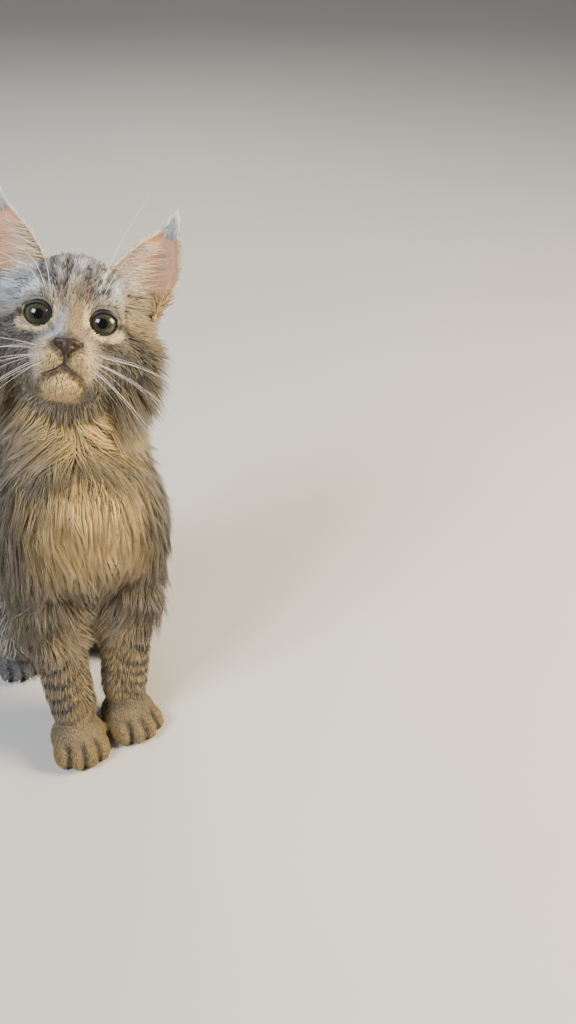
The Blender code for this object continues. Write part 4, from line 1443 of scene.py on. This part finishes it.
class KITTEN_OT_skin(bpy.types.Operator):
    """Build one skin over the head, neck, body, legs and tail"""

    bl_idname = "kitten.skin"
    bl_label = "Skin"

    def execute(self, context):
        voxel = context.scene.kitten.skin_face / MM * 1.0
        parts = [part for form in FORMS for part in form.parts]
        skin = soft_mesh("kitten_skin", WHOLE, parts, voxel, skin_level)
        for reach in (58.0, 34.0):
            bpy.ops.object.mode_set(mode="EDIT")
            bpy.ops.mesh.select_all(action="DESELECT")
            bpy.ops.object.mode_set(mode="OBJECT")
            centres = np.array([face.center for face in skin.data.polygons])
            local = in_head(centres)
            near = np.linalg.norm(local - (0, -34, -4), axis=1) < reach
            near &= (local[:, 1] < -8) & (np.abs(local[:, 0]) < 30)
            skin.data.polygons.foreach_set("select", near)
            bpy.ops.object.mode_set(mode="EDIT")
            bpy.ops.mesh.subdivide(number_cuts=1)
            bpy.ops.object.mode_set(mode="OBJECT")
            settle_mesh(skin, WHOLE, skin_level, 3)
        self.open_lids(skin)
        check_made(skin, "the skin")
        remember_skin(skin)
        paint(skin.data, markings(corners_of(skin.data)) * 0.55)
        nodes = [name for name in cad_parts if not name.startswith(("ear", "eye", "nose"))]
        finish_piece(skin, finish_of("skin"), replaced=nodes)
        return {"FINISHED"}

    def open_lids(self, skin):
        """Cuts the openings between the lids, with their inner corners, out of the skin."""
        for side in (-1, 1):
            for shape in (lid_opening(side), tear_corner(side)):
                pieces = shape.placed(head_frame()).mesh()
                select_only(*pieces)
                if len(pieces) > 1:
                    bpy.ops.object.join()
                    voxel_remesh(bpy.context.object, 0.25)
                cutter = bpy.context.object
                cut = skin.modifiers.new("lids", "BOOLEAN")
                cut.operation = "DIFFERENCE"
                cut.solver = "MANIFOLD"
                cut.object = cutter
                apply_modifiers(skin)
                bpy.data.objects.remove(cutter, do_unlink=True)


class KITTEN_OT_eyes(bpy.types.Operator):
    """Build the eyes and the dark rims of their lids"""

    bl_idname = "kitten.eyes"
    bl_label = "Eyes"

    def execute(self, context):
        for side, word in ((-1, "right"), (1, "left")):
            centre = Vector(from_head([eye_centre(side)])[0])
            bpy.ops.object.select_all(action="DESELECT")
            bpy.ops.mesh.primitive_uv_sphere_add(segments=64, ring_count=40, radius=EYE_RADIUS)
            eye = bpy.context.object
            eye.name = f"eyeball_{word}"
            eye.data.transform(Matrix.Translation(centre))
            look = eye_material(f"eye_{word}", side, (-0.02, -1.0, -0.09))
            finish_piece(eye, look, replaced=(f"eye_{word}",))
            self.rim(side, word)
        return {"FINISHED"}

    def rim(self, side, word):
        """The bare dark edge of the lids, as a closed tube round the opening, widened along the top as a
        painted shadow of the upper lid.
        """
        eye = np.array(eye_centre(side))
        count, sides = 72, 8
        reach_x = EYE_OPEN / 2 * 0.98
        reach_z = EYE_OPEN * 0.44
        shell = EYE_RADIUS + 0.55
        points = []
        faces = []
        for index in range(count):
            angle = 2 * math.pi * index / count
            across = math.cos(angle)
            up = math.sin(angle)
            corner = max(0.0, math.cos(angle - math.radians(212))) ** 24
            outer = max(0.0, math.cos(angle - math.radians(12))) ** 30
            x = across * reach_x + 0.6 - 1.92 * corner + 0.9 * outer
            z = up * reach_z - 0.2 - 1.6 * corner + 0.4 * outer
            y = -math.sqrt(max(shell**2 - x**2 - z**2, 4.0))
            centre = eye + np.array((side * x, y, z))
            outward = unit(np.array((side * x, y, z)))
            radial = unit(np.array((side * across, 0.0, up)))
            radial = unit(radial - outward * (radial @ outward))
            # Wider along the top: a painted shadow of the upper lid
            width = 1.3 + 0.4 * corner + 1.15 * max(0.0, up)
            for turn in range(sides):
                spin = 2 * math.pi * turn / sides
                points.append(centre + radial * math.cos(spin) * width + outward * math.sin(spin) * 0.95)
            faces += band_faces(index * sides, (index + 1) % count * sides, sides)
        rim = mesh_object(f"lid_rim_{word}", from_head(points), faces)
        outward_normals(rim)
        finish_piece(rim, finish_of("lip"))


def outward_normals(obj):
    mesh = bmesh.new()
    mesh.from_mesh(obj.data)
    bmesh.ops.recalc_face_normals(mesh, faces=mesh.faces)
    mesh.to_mesh(obj.data)
    mesh.free()


class KITTEN_OT_nose(bpy.types.Operator):
    """Build the nose leather and the dark line of the lips"""

    bl_idname = "kitten.nose"
    bl_label = "Nose and lips"

    def execute(self, context):
        nose = soft_mesh("nose_leather", NOSE, NOSE.parts, 0.5, lambda points: np.zeros(len(points)), 1)
        check_made(nose, "the nose")
        finish_piece(nose, finish_of("nose"), replaced=("nose",))
        paths = []
        for side in (-1, 1):
            stops = np.array([(side * x, y, z) for x, y, z in MOUTH], float)
            fine = np.linspace(0, len(stops) - 1, 17)
            line = np.stack([np.interp(fine, range(len(stops)), values) for values in stops.T], axis=1)
            paths.append(from_head(line + (0, 0.4, 0)))
        paths = np.array(paths)
        lips = tubes("lip_line", paths, [0.7, 0.7], 8, lambda share: 1.0 - 0.7 * share)
        finish_piece(lips, finish_of("lip"))
        return {"FINISHED"}


def tubes(name, paths, radii, sides, taper):
    """Round tapered rods along paths, closed at both ends, as one mesh."""
    points = []
    faces = []
    for path, radius in zip(paths, radii):
        base = len(points)
        last = len(path) - 1
        for index, place in enumerate(path):
            ahead = path[min(index + 1, last)] - path[max(index - 1, 0)]
            ahead = Vector(ahead).normalized()
            side = ahead.orthogonal().normalized()
            if index:
                side = (before - ahead * before.dot(ahead)).normalized()
            before = side
            up = ahead.cross(side)
            size = radius * taper(index / last)
            for turn in range(sides):
                spin = 2 * math.pi * turn / sides
                points.append(Vector(place) + (side * math.cos(spin) + up * math.sin(spin)) * size)
        for low in range(base, base + last * sides, sides):
            faces += band_faces(low, low + sides, sides)
        faces.append(tuple(base + turn for turn in reversed(range(sides))))
        faces.append(tuple(base + last * sides + turn for turn in range(sides)))
    return mesh_object(name, points, faces)


# Ears


def ear_axes(side):
    """An ear's foot and tip, and the directions out of its side, up it and out of its back."""
    foot = Vector((side * 30.0, 7.0, 20.0))
    tip = Vector((side * 47.0, 21.0, 66.0))
    upward = (tip - foot).normalized()
    outward = Vector((side * 0.80, -0.22, -0.56))
    outward = (outward - upward * outward.dot(upward)).normalized()
    backward = upward.cross(outward) * side
    return [np.array(value) for value in (foot, tip, outward, upward, backward)]


def ear_angle(across):
    """How far round the cup a share across the ear lies."""
    return np.radians(-EAR_TURN + 2 * EAR_TURN * across)


def ear_points(side, across, up):
    """Points of the ear's middle sheet in the head's frame, for arrays of shares across and up it."""
    foot, tip, outward, _, backward = ear_axes(side)
    centre = foot + (tip - foot) * up[:, None]
    half = EAR_WIDTH / 2 * (1 - np.clip(up, 0, 0.999)) ** 0.62 * (1.0 + 0.10 * np.sin(np.pi * up))
    angle = ear_angle(across)
    spread = np.sin(angle) * np.where(angle > 0, 1.0 - 0.30 * ramp(up, 0.5, 0.0), 1.0)
    cup = outward * spread[:, None] + backward * (EAR_CUP * (np.cos(angle) - 0.2))[:, None]
    return centre + cup * half[:, None]


class KITTEN_OT_ears(bpy.types.Operator):
    """Build the two cupped ears with their fringes, furnishings and tip tufts"""

    bl_idname = "kitten.ears"
    bl_label = "Ears"

    def execute(self, context):
        for side, word in ((-1, "right"), (1, "left")):
            self.shell(side, word)
            self.hair(side, word)
        return {"FINISHED"}

    def shell(self, side, word):
        wide, high = 36, 34
        across, up = np.meshgrid(np.linspace(0, 1, wide + 1), np.linspace(-0.06, 0.985, high + 1))
        points = from_head(ear_points(side, across.ravel(), up.ravel()))
        faces = []
        for row in range(high):
            for col in range(wide):
                low = row * (wide + 1) + col
                faces.append((low, low + 1, low + wide + 2, low + wide + 1))
        ear = mesh_object(f"ear_skin_{word}", points, faces)
        outward_normals(ear)
        wall = ear.modifiers.new("wall", "SOLIDIFY")
        wall.thickness = EAR_WALL
        wall.offset = 0.0
        apply_modifiers(ear)
        outward_normals(ear)
        places = corners_of(ear.data)
        local = in_head(places)
        foot, tip, _, upward, backward = ear_axes(side)
        share = ((local - foot) @ upward) / np.linalg.norm(tip - foot)
        deep = (local - foot) @ backward
        colour = layered(
            evenly(PINK, len(places)),
            (TAN, 0.5 * noise(places, 6.0, 51)),
            # painted shade deep in the bowl, near the ear's foot
            (PAINTED_EAR_SHADE, 0.6 * ramp(share, 0.35, 0.0) * ramp(deep, 0, 6)),
        )
        back = (normals_of(ear.data) @ head_turned([backward])[0]) > 0.1
        colour[back] = np.array(GREY) * 1.1
        paint(ear.data, colour)
        finish_piece(ear, finish_of("ear"), replaced=(f"ear_{word}",))

    def hair(self, side, word):
        rng = np.random.default_rng(SEEDS["ear_hair"] + side)
        _, _, outward, upward, backward = ear_axes(side)
        kinds = (back_hair, lobe_hair, rim_hair, inner_hair, tip_hair)
        sets = [kind(side, rng, outward, upward, backward) for kind in kinds]
        share = np.linspace(0, 1, 4)
        hairs = []
        for roots, grow, face, length, width, colour, sag in sets:
            path = roots[:, None, :] + grow[:, None, :] * (share[None, :, None] * length[:, None, None])
            bend = (share**2)[None, :, None] * length[:, None, None]
            path = path + bend * sag * upward * -0.8 + bend * sag * backward * -0.6
            paths = from_head(path.reshape(-1, 3)).reshape(path.shape)
            facings = np.repeat(head_turned(face)[:, None, :], len(share), axis=1)
            widths = width * rng.uniform(0.7, 1.2, len(roots))
            hairs.append((paths, facings, widths, varied(colour, rng, 0.12), ear_unwrap(side, roots)))
        joined = [np.concatenate(values) for values in zip(*hairs)]
        name = f"ear_hair_{word}"
        tufts_in_pieces(name, "face_coat", "white_hair", EAR_TUFTS, *joined, (0.9, 1.0, 0.6))


# Each kind of ear hair gives roots, directions, facings, lengths, width, colours and sag


def back_hair(side, rng, outward, upward, backward):
    """Short hair over the back of the ear, pale at its edges."""
    count = count_of(1900)
    across = rng.random(count)
    up = rng.random(count) ** 1.25 * 0.97
    roots = ear_points(side, across, up)
    angle = ear_angle(across)
    out = unit(outward * np.sin(angle)[:, None] + backward * np.cos(angle)[:, None])
    edge = np.abs(across - 0.5) * 2
    grow = unit(upward + out * (0.28 * (1 - edge**4))[:, None])
    length = (3.4 + 2.5 * (1 - up)) * (1 - 0.45 * edge**4)
    tan = 0.55 * noise(roots, 9.0, 52)
    colour = layered(evenly(GREY, count, 1.35), (TAN, tan), (WHITE, 0.85 * ramp(edge, 0.5, 0.8)))
    return roots + out * 0.5, grow, out, length, 0.62, colour, 0.0


def lobe_hair(side, rng, outward, upward, backward):
    """Golden hair in the foot of the bowl."""
    count = count_of(700)
    across = rng.uniform(0.30, 1.0, count)
    up = rng.uniform(-0.06, 0.22, count)
    spread = rng.normal(0, 0.2, (count, 3))
    sideways = outward * rng.uniform(-0.6, 0.5, (count, 1))
    grow = unit(upward * 0.55 - backward * 0.5 + sideways + spread)
    colour = mix(evenly(CREAM, count), TAN, rng.random(count))
    length = rng.uniform(5.0, 11.0, count)
    return ear_points(side, across, up), grow, evenly(-backward, count), length, 0.6, colour, 0.0


def rim_hair(side, rng, outward, upward, backward):
    """A fringe along both edges: white on the inner one and silver on the outer one."""
    count = count_of(700)
    near = rng.random(count) < 0.75
    across = np.where(near, rng.uniform(0.0, 0.04, count), rng.uniform(0.97, 1.0, count))
    up = rng.random(count) * 0.96
    sign = np.sign(across - 0.5)[:, None]
    inner = across < 0.5
    sideways = sign * outward * np.where(inner, -0.35, 0.15)[:, None]
    grow = unit(upward + sideways + rng.normal(0, 0.12, (count, 3)))
    colour = evenly(WHITE, count)
    colour[~inner] = np.array(SILVER)
    length = rng.uniform(3.0, 6.0, count)
    return ear_points(side, across, up), grow, evenly(-backward, count), length, 0.5, colour, 0.0


def inner_hair(side, rng, outward, upward, backward):
    """Long white hair from the inner edge across the bowl."""
    count = count_of(330)
    across = rng.random(count) ** 1.8 * 0.30
    up = rng.random(count) ** 1.9 * 0.72 - 0.02
    lift = rng.uniform(0.05, 0.55, (count, 1))
    grow = unit(outward - backward * lift + upward * rng.uniform(-0.15, 0.5, (count, 1)))
    reach = (8.0 + 26.0 * rng.random(count) ** 1.6) * (1.05 - 0.75 * np.clip(up, 0, 1))
    colour = mix(evenly(WHITE, count), CREAM, 0.3 * rng.random(count))
    return ear_points(side, across, up), grow, evenly(-backward, count), reach, 0.30, colour, -0.22


def tip_hair(side, rng, outward, upward, backward):
    """The tuft that stands up from the tip."""
    count = count_of(360)
    across = rng.uniform(0.1, 0.9, count)
    up = rng.uniform(0.86, 0.975, count)
    roots = ear_points(side, across, up)
    point = ear_points(side, np.array([0.5]), np.array([0.97]))
    rise = unit(in_head(np.array([HEAD_CENTRE]) + (0.16 + 0.14 * side, -0.1, 1.0)))
    reach = rng.uniform(5.0, 15.0, count)
    inwards = (point - roots) * (0.85 * reach / 15.0)[:, None]
    grow = unit(rise * reach[:, None] + inwards + rng.normal(0, 0.5, (count, 3)))
    colour = mix(evenly(TIP, count), GREY, 0.2 * rng.random(count))
    return roots, grow, evenly(-backward, count), reach, 0.5, colour, 0.0


def ear_unwrap(side, local):
    foot, _, outward, upward, backward = ear_axes(side)
    offset = local - foot
    across = np.arctan2(offset @ outward, -(offset @ backward) + 6.0) / (2 * math.pi) + 0.5
    return np.stack([across, np.clip(offset @ upward / 60.0 + 0.1, 0.004, 0.99)], axis=1)


class KITTEN_OT_face_coat(bpy.types.Operator):
    """Grow the short coat of the head and the longer coat behind the cheeks"""

    bl_idname = "kitten.face_coat"
    bl_label = "Face coat"

    def execute(self, context):
        rng = np.random.default_rng(SEEDS["face_coat"])

        def density(centres):
            local = in_head(centres)
            front = ramp(local[:, 1], 12, -12)
            near = ramp(np.linalg.norm(local - (0, -38, -8), axis=1), 34, 14)
            return 0.35 + 1.0 * front + 1.3 * near

        number = count_of(context.scene.kitten.face_tufts)
        roots, normals = scatter(number, body_weights(("head",), density), rng)
        keep = clear_of_face(roots)
        roots, normals = roots[keep], normals[keep]
        local = in_head(roots)
        lengths = face_length(local) * rng.uniform(0.75, 1.2, len(roots))
        crown = 1.0 + 0.8 * ramp(local[:, 2], 20, 32)
        lifts = 0.4 + 0.22 * crown * lengths * rng.uniform(0.3, 1.4, len(roots))
        lifts += 0.15 * np.maximum(lengths - 9, 0)
        lifts += 0.2 * lengths * ramp(np.abs(local[:, 0]), 19, 27) * ramp(local[:, 1], -20, -8)
        paths, facings = march(roots, normals, face_lie, lengths, lifts, 2, sink=0.4)
        tall = ramp(lengths, 7, 16)
        droop = np.array((0, 0, -1.0)) * (tall * lengths * 0.12)[:, None]
        paths = paths + droop[:, None, :] * (np.linspace(0, 1, 3) ** 2)[None, :, None]
        paths = gather(paths, roots, 7, 0.5, rng)
        muzzle = ramp(np.linalg.norm(local - (0, -38, -20), axis=1), 24, 16)
        colours = varied(markings(roots), rng, 0.17 - 0.08 * muzzle)
        widths = (0.48 + 0.05 * lengths) * rng.uniform(0.75, 1.2, len(roots))
        hair = (paths, facings, widths, colours, ball_unwrap(roots), (0.95, 0.9))
        # painted shade at the roots and painted light at the tips of the face's tufts
        tufts_in_pieces("face_coat", "face_coat", "face", SHORT_TUFTS, *hair, shades=(0.55, 0.98, 1.15))
        return {"FINISHED"}


class KITTEN_OT_ruff(bpy.types.Operator):
    """Grow the long hair that stands out below the ears and behind the cheeks"""

    bl_idname = "kitten.ruff"
    bl_label = "Cheek ruff"

    def execute(self, context):
        rng = np.random.default_rng(SEEDS["ruff"])

        def density(centres):
            local = in_head(centres)
            x, y, z = local.T
            side = ramp(np.abs(x), 19, 27) * ramp(y, -14, 2) * ramp(y, 34, 20)
            spot = ramp(np.linalg.norm(np.stack([np.abs(x) - 29, y + 3, z - 7], axis=1), axis=1), 15, 8)
            return side * ramp(z, 28, 20) * ramp(z, -46, -34) + 3.0 * spot

        number = count_of(context.scene.kitten.ruff_tufts)
        roots, normals = scatter(number, body_weights(("head", "neck"), density), rng)
        local = in_head(roots)
        side = np.sign(local[:, 0])
        low = ramp(local[:, 2], 14, -24)
        out = np.stack([side * (1.0 - 0.35 * low), np.full_like(low, 0.25), 0.5 - 1.35 * low], axis=1)
        ahead = unit(head_turned(out) + 0.35 * normals + rng.normal(0, 0.13, roots.shape))
        behind = ramp(local[:, 1], -16, -3)
        lengths = (17.0 + 7.0 * low) * (0.4 + 0.6 * behind) * rng.uniform(0.65, 1.15, len(roots))
        share = np.linspace(0, 1, 3)
        reach = share[None, :, None] * lengths[:, None, None]
        paths = (roots - normals)[:, None, :] + ahead[:, None, :] * reach
        paths[:, :, 2] -= 0.28 * share[None] ** 2 * lengths[:, None]
        paths = gather(paths, roots, 12, 0.5, rng)
        facings = np.repeat(unit(normals + head_turned([(0, -1, 0.4)]))[:, None, :], 3, axis=1)
        colours = varied(markings(roots + normals), rng)
        widths = 0.75 * rng.uniform(0.7, 1.2, len(roots))
        hair = (paths, facings, widths, colours, ball_unwrap(roots), (0.95, 0.85))
        tufts_in_pieces("ruff", "face_coat", "coat", SHORT_TUFTS, *hair)
        return {"FINISHED"}


class KITTEN_OT_body_coat(bpy.types.Operator):
    """Grow the long coat of the neck, chest, flanks and back"""

    bl_idname = "kitten.body_coat"
    bl_label = "Body coat"

    def execute(self, context):
        settings = context.scene.kitten

        def front(centres):
            return ramp(centres[:, 1], 66, 44) * ramp(centres[:, 2], 55, 75)

        def rest(centres):
            return ramp(centres[:, 1], 44, 66) + 0.5 * ramp(centres[:, 2], 75, 55)

        regions = ("torso", "neck")
        grow_long(
            "chest_coat", "chest_coat", regions, front, settings.chest_tufts,
            (long_length, 0.62), 0.24, long_lie, (0, 60), gather_by=0.75,
        )
        grow_long(
            "flank_coat", "flank_coat", regions, rest, settings.flank_tufts,
            (long_length, 1.3), 0.28, long_lie, (0, 90),
        )
        return {"FINISHED"}


class KITTEN_OT_leg_coat(bpy.types.Operator):
    """Grow the coat of the forelegs, thighs and feet"""

    bl_idname = "kitten.leg_coat"
    bl_label = "Leg coat"

    def execute(self, context):
        number = context.scene.kitten.leg_tufts

        def fore_length(points):
            z = points[:, 2]
            inner = ramp(np.abs(points[:, 0]), 15, 9) * ramp(z, 24, 40)
            return 3.0 + 2.6 * ramp(z, 20, 45) + 13.0 * ramp(z, 62, 92) + 3.5 * inner

        def thigh_length(points):
            return 3.6 + 16.0 * ramp(points[:, 2], 18, 45)

        def low_down(centres):
            return 1.0 + 0.8 * ramp(centres[:, 2], 40, 15)

        grow_long(
            "foreleg_coat", "leg_coat", ("foreleg",), low_down, int(number * 0.62),
            (fore_length, 0.68), 0.27, leg_lie, (0, 20), gather_by=0.22,
        )
        grow_long(
            "thigh_coat", "leg_coat", ("hindleg",), low_down, int(number * 0.38),
            (thigh_length, 1.1), 0.2, thigh_lie, (0, 105), gather_by=0.4,
        )
        return {"FINISHED"}


class KITTEN_OT_tail_coat(bpy.types.Operator):
    """Grow the bushy coat of the tail"""

    bl_idname = "kitten.tail_coat"
    bl_label = "Tail coat"

    def execute(self, context):
        grow_long(
            "tail_coat", "flank_coat", ("tail",), None, context.scene.kitten.tail_tufts,
            (lambda points: np.full(len(points), TAIL_HAIR), 1.5), 0.36, tail_lie, (-60, 140), steps=3,
        )
        return {"FINISHED"}


class KITTEN_OT_whiskers(bpy.types.Operator):
    """Build the whiskers of the muzzle and the brows"""

    bl_idname = "kitten.whiskers"
    bl_label = "Whiskers"

    def execute(self, context):
        rng = random.Random(SEEDS["whiskers"])
        paths = []
        radii = []
        for side in (-1, 1):
            for row in range(WHISKER_ROWS):
                for spot in range(WHISKER_SPOTS):
                    root = Vector(whisker_root(side, row, spot)) + Vector((0, 1.0, 0))
                    reach = (30 + 12 * spot) * rng.uniform(0.8, 1.1)
                    rise = 0.10 - 0.34 * row + rng.uniform(-0.12, 0.12)
                    ahead = Vector((side * 1.0, -0.05 + 0.12 * spot, rise))
                    droop = Vector((side * 0.1, 0.35, -0.75 + rng.uniform(-0.2, 0.2)))
                    paths.append(bent_path(root, ahead, droop, reach))
                    radii.append(0.095 + 0.008 * spot)
        paths = [from_head(path) for path in paths]
        for side, tips in BROW_TIPS.items():
            for spot, tip in enumerate(tips):
                root = from_head([(side * (12.0 + 2.0 * spot), -26.0 + spot, 15.5 + 0.6 * spot)])[0]
                rise = root + head_turned([(side * (0.1 + 0.2 * spot), -0.35, 1.0)])[0] * 24.0
                share = np.linspace(0, 1, 11)[:, None]
                curve = root * (1 - share) ** 2 + rise * 2 * share * (1 - share) + np.array(tip) * share**2
                paths.append(curve)
                radii.append(0.16)
        paths = np.array(paths)
        paths[:, :, 2] = np.minimum(paths[:, :, 2], WHISKER_TOP)
        paths[:, :, 1] = np.maximum(paths[:, :, 1], WHISKER_FRONT)
        made = tubes("whiskers", paths, radii, 5, lambda share: 1.0 - 0.88 * share)
        paint(made.data, evenly(WHISKER, len(made.data.vertices)))
        finish_piece(made, finish_of("white_hair"))
        return {"FINISHED"}


def bent_path(root, ahead, droop, reach):
    """A whisker's path, in eleven points."""
    ahead = ahead.normalized()
    shares = [index / 10 for index in range(11)]
    return [root + ahead * reach * share + droop * reach * 0.35 * share**2 for share in shares]


class KITTEN_OT_claws(bpy.types.Operator):
    """Build the small claws between the toes"""

    bl_idname = "kitten.claws"
    bl_label = "Claws"

    def execute(self, context):
        paths = []
        for side in (-1, 1):
            for toes in (foreleg_toes(side), hindleg_toes(side)):
                for toe in toes:
                    front = toe.turn @ Vector((0, -1, 0))
                    root = toe.centre + front * 6.4 + Vector((0, 0, -2.0))
                    shares = (0, 0.3, 0.6, 0.85, 1)
                    line = [root + front * 2.0 * share - Vector((0, 0, 2.4 * share**2)) for share in shares]
                    paths.append([tuple(point) for point in line])
        claws = tubes("claws", np.array(paths), [0.6] * len(paths), 8, lambda share: 1.0 - 0.9 * share)
        finish_piece(claws, finish_of("horn"))
        return {"FINISHED"}


class KITTEN_OT_stage(bpy.types.Operator):
    """Lay the pale floor, place the soft lights and set the camera"""

    bl_idname = "kitten.stage"
    bl_label = "Stage"

    def execute(self, context):
        settings = context.scene.kitten_stage
        bpy.ops.object.select_all(action="DESELECT")
        bpy.ops.mesh.primitive_plane_add(size=8.0)
        floor = bpy.context.object
        floor.name = "studio_floor"
        floor.data.materials.append(finish_of("floor"))
        world = bpy.data.worlds.new("studio")
        world.use_nodes = True
        sky = world.node_tree.nodes["Background"]
        set_inputs(sky, {"Color": (*SKY, 1), "Strength": 0.22})
        context.scene.world = world
        for name, place, aim, size, power, colour in LAMPS:
            lamp = bpy.data.lights.new(name, "AREA")
            lamp.size = size
            lamp.energy = power
            lamp.color = colour
            placed_object(name, lamp).matrix_world = aimed(place, aim)
        lens = bpy.data.cameras.new("photo_view")
        lens.sensor_fit = "VERTICAL"
        lens.sensor_height = 36.0
        lens.lens = settings.camera_lens
        lens.clip_start = 0.01
        camera = placed_object("photo_view", lens)
        camera.matrix_world = aimed(settings.camera_place, settings.camera_aim, settings.camera_roll)
        context.scene.camera = camera
        return {"FINISHED"}


def aimed(place, aim, roll=0.0):
    """Where a lamp or camera at a place stands when it looks at another."""
    look = Vector(aim) - Vector(place)
    turn = look.to_track_quat("-Z", "Y").to_matrix() @ Matrix.Rotation(roll, 3, "Z")
    return Matrix.Translation(Vector(place)) @ turn.to_4x4()


class KITTEN_PT_panel(bpy.types.Panel):
    """The kitten's build steps, in order"""

    bl_idname = "KITTEN_PT_panel"
    bl_label = "Museum kitten"
    bl_space_type = "VIEW_3D"
    bl_region_type = "UI"
    bl_category = "Kitten"

    def draw(self, context):
        for step in STEPS:
            self.layout.operator(step.bl_idname)


STEPS = (
    KITTEN_OT_skin,
    KITTEN_OT_eyes,
    KITTEN_OT_nose,
    KITTEN_OT_ears,
    KITTEN_OT_face_coat,
    KITTEN_OT_ruff,
    KITTEN_OT_body_coat,
    KITTEN_OT_leg_coat,
    KITTEN_OT_tail_coat,
    KITTEN_OT_whiskers,
    KITTEN_OT_claws,
    KITTEN_OT_stage,
)
CLASSES = (KittenSettings, StageSettings, *STEPS, KITTEN_PT_panel)


def register():
    for item in CLASSES:
        bpy.utils.register_class(item)
    bpy.types.Scene.kitten = bpy.props.PointerProperty(type=KittenSettings)
    bpy.types.Scene.kitten_stage = bpy.props.PointerProperty(type=StageSettings)


def unregister():
    del bpy.types.Scene.kitten_stage
    del bpy.types.Scene.kitten
    for item in reversed(CLASSES):
        bpy.utils.unregister_class(item)


def main():
    register()
    for step in STEPS:
        group, name = step.bl_idname.split(".")
        result = getattr(getattr(bpy.ops, group), name)()
        if result != {"FINISHED"}:
            raise RuntimeError(f"{step.bl_label} did not finish")


if __name__ == "__main__":
    main()
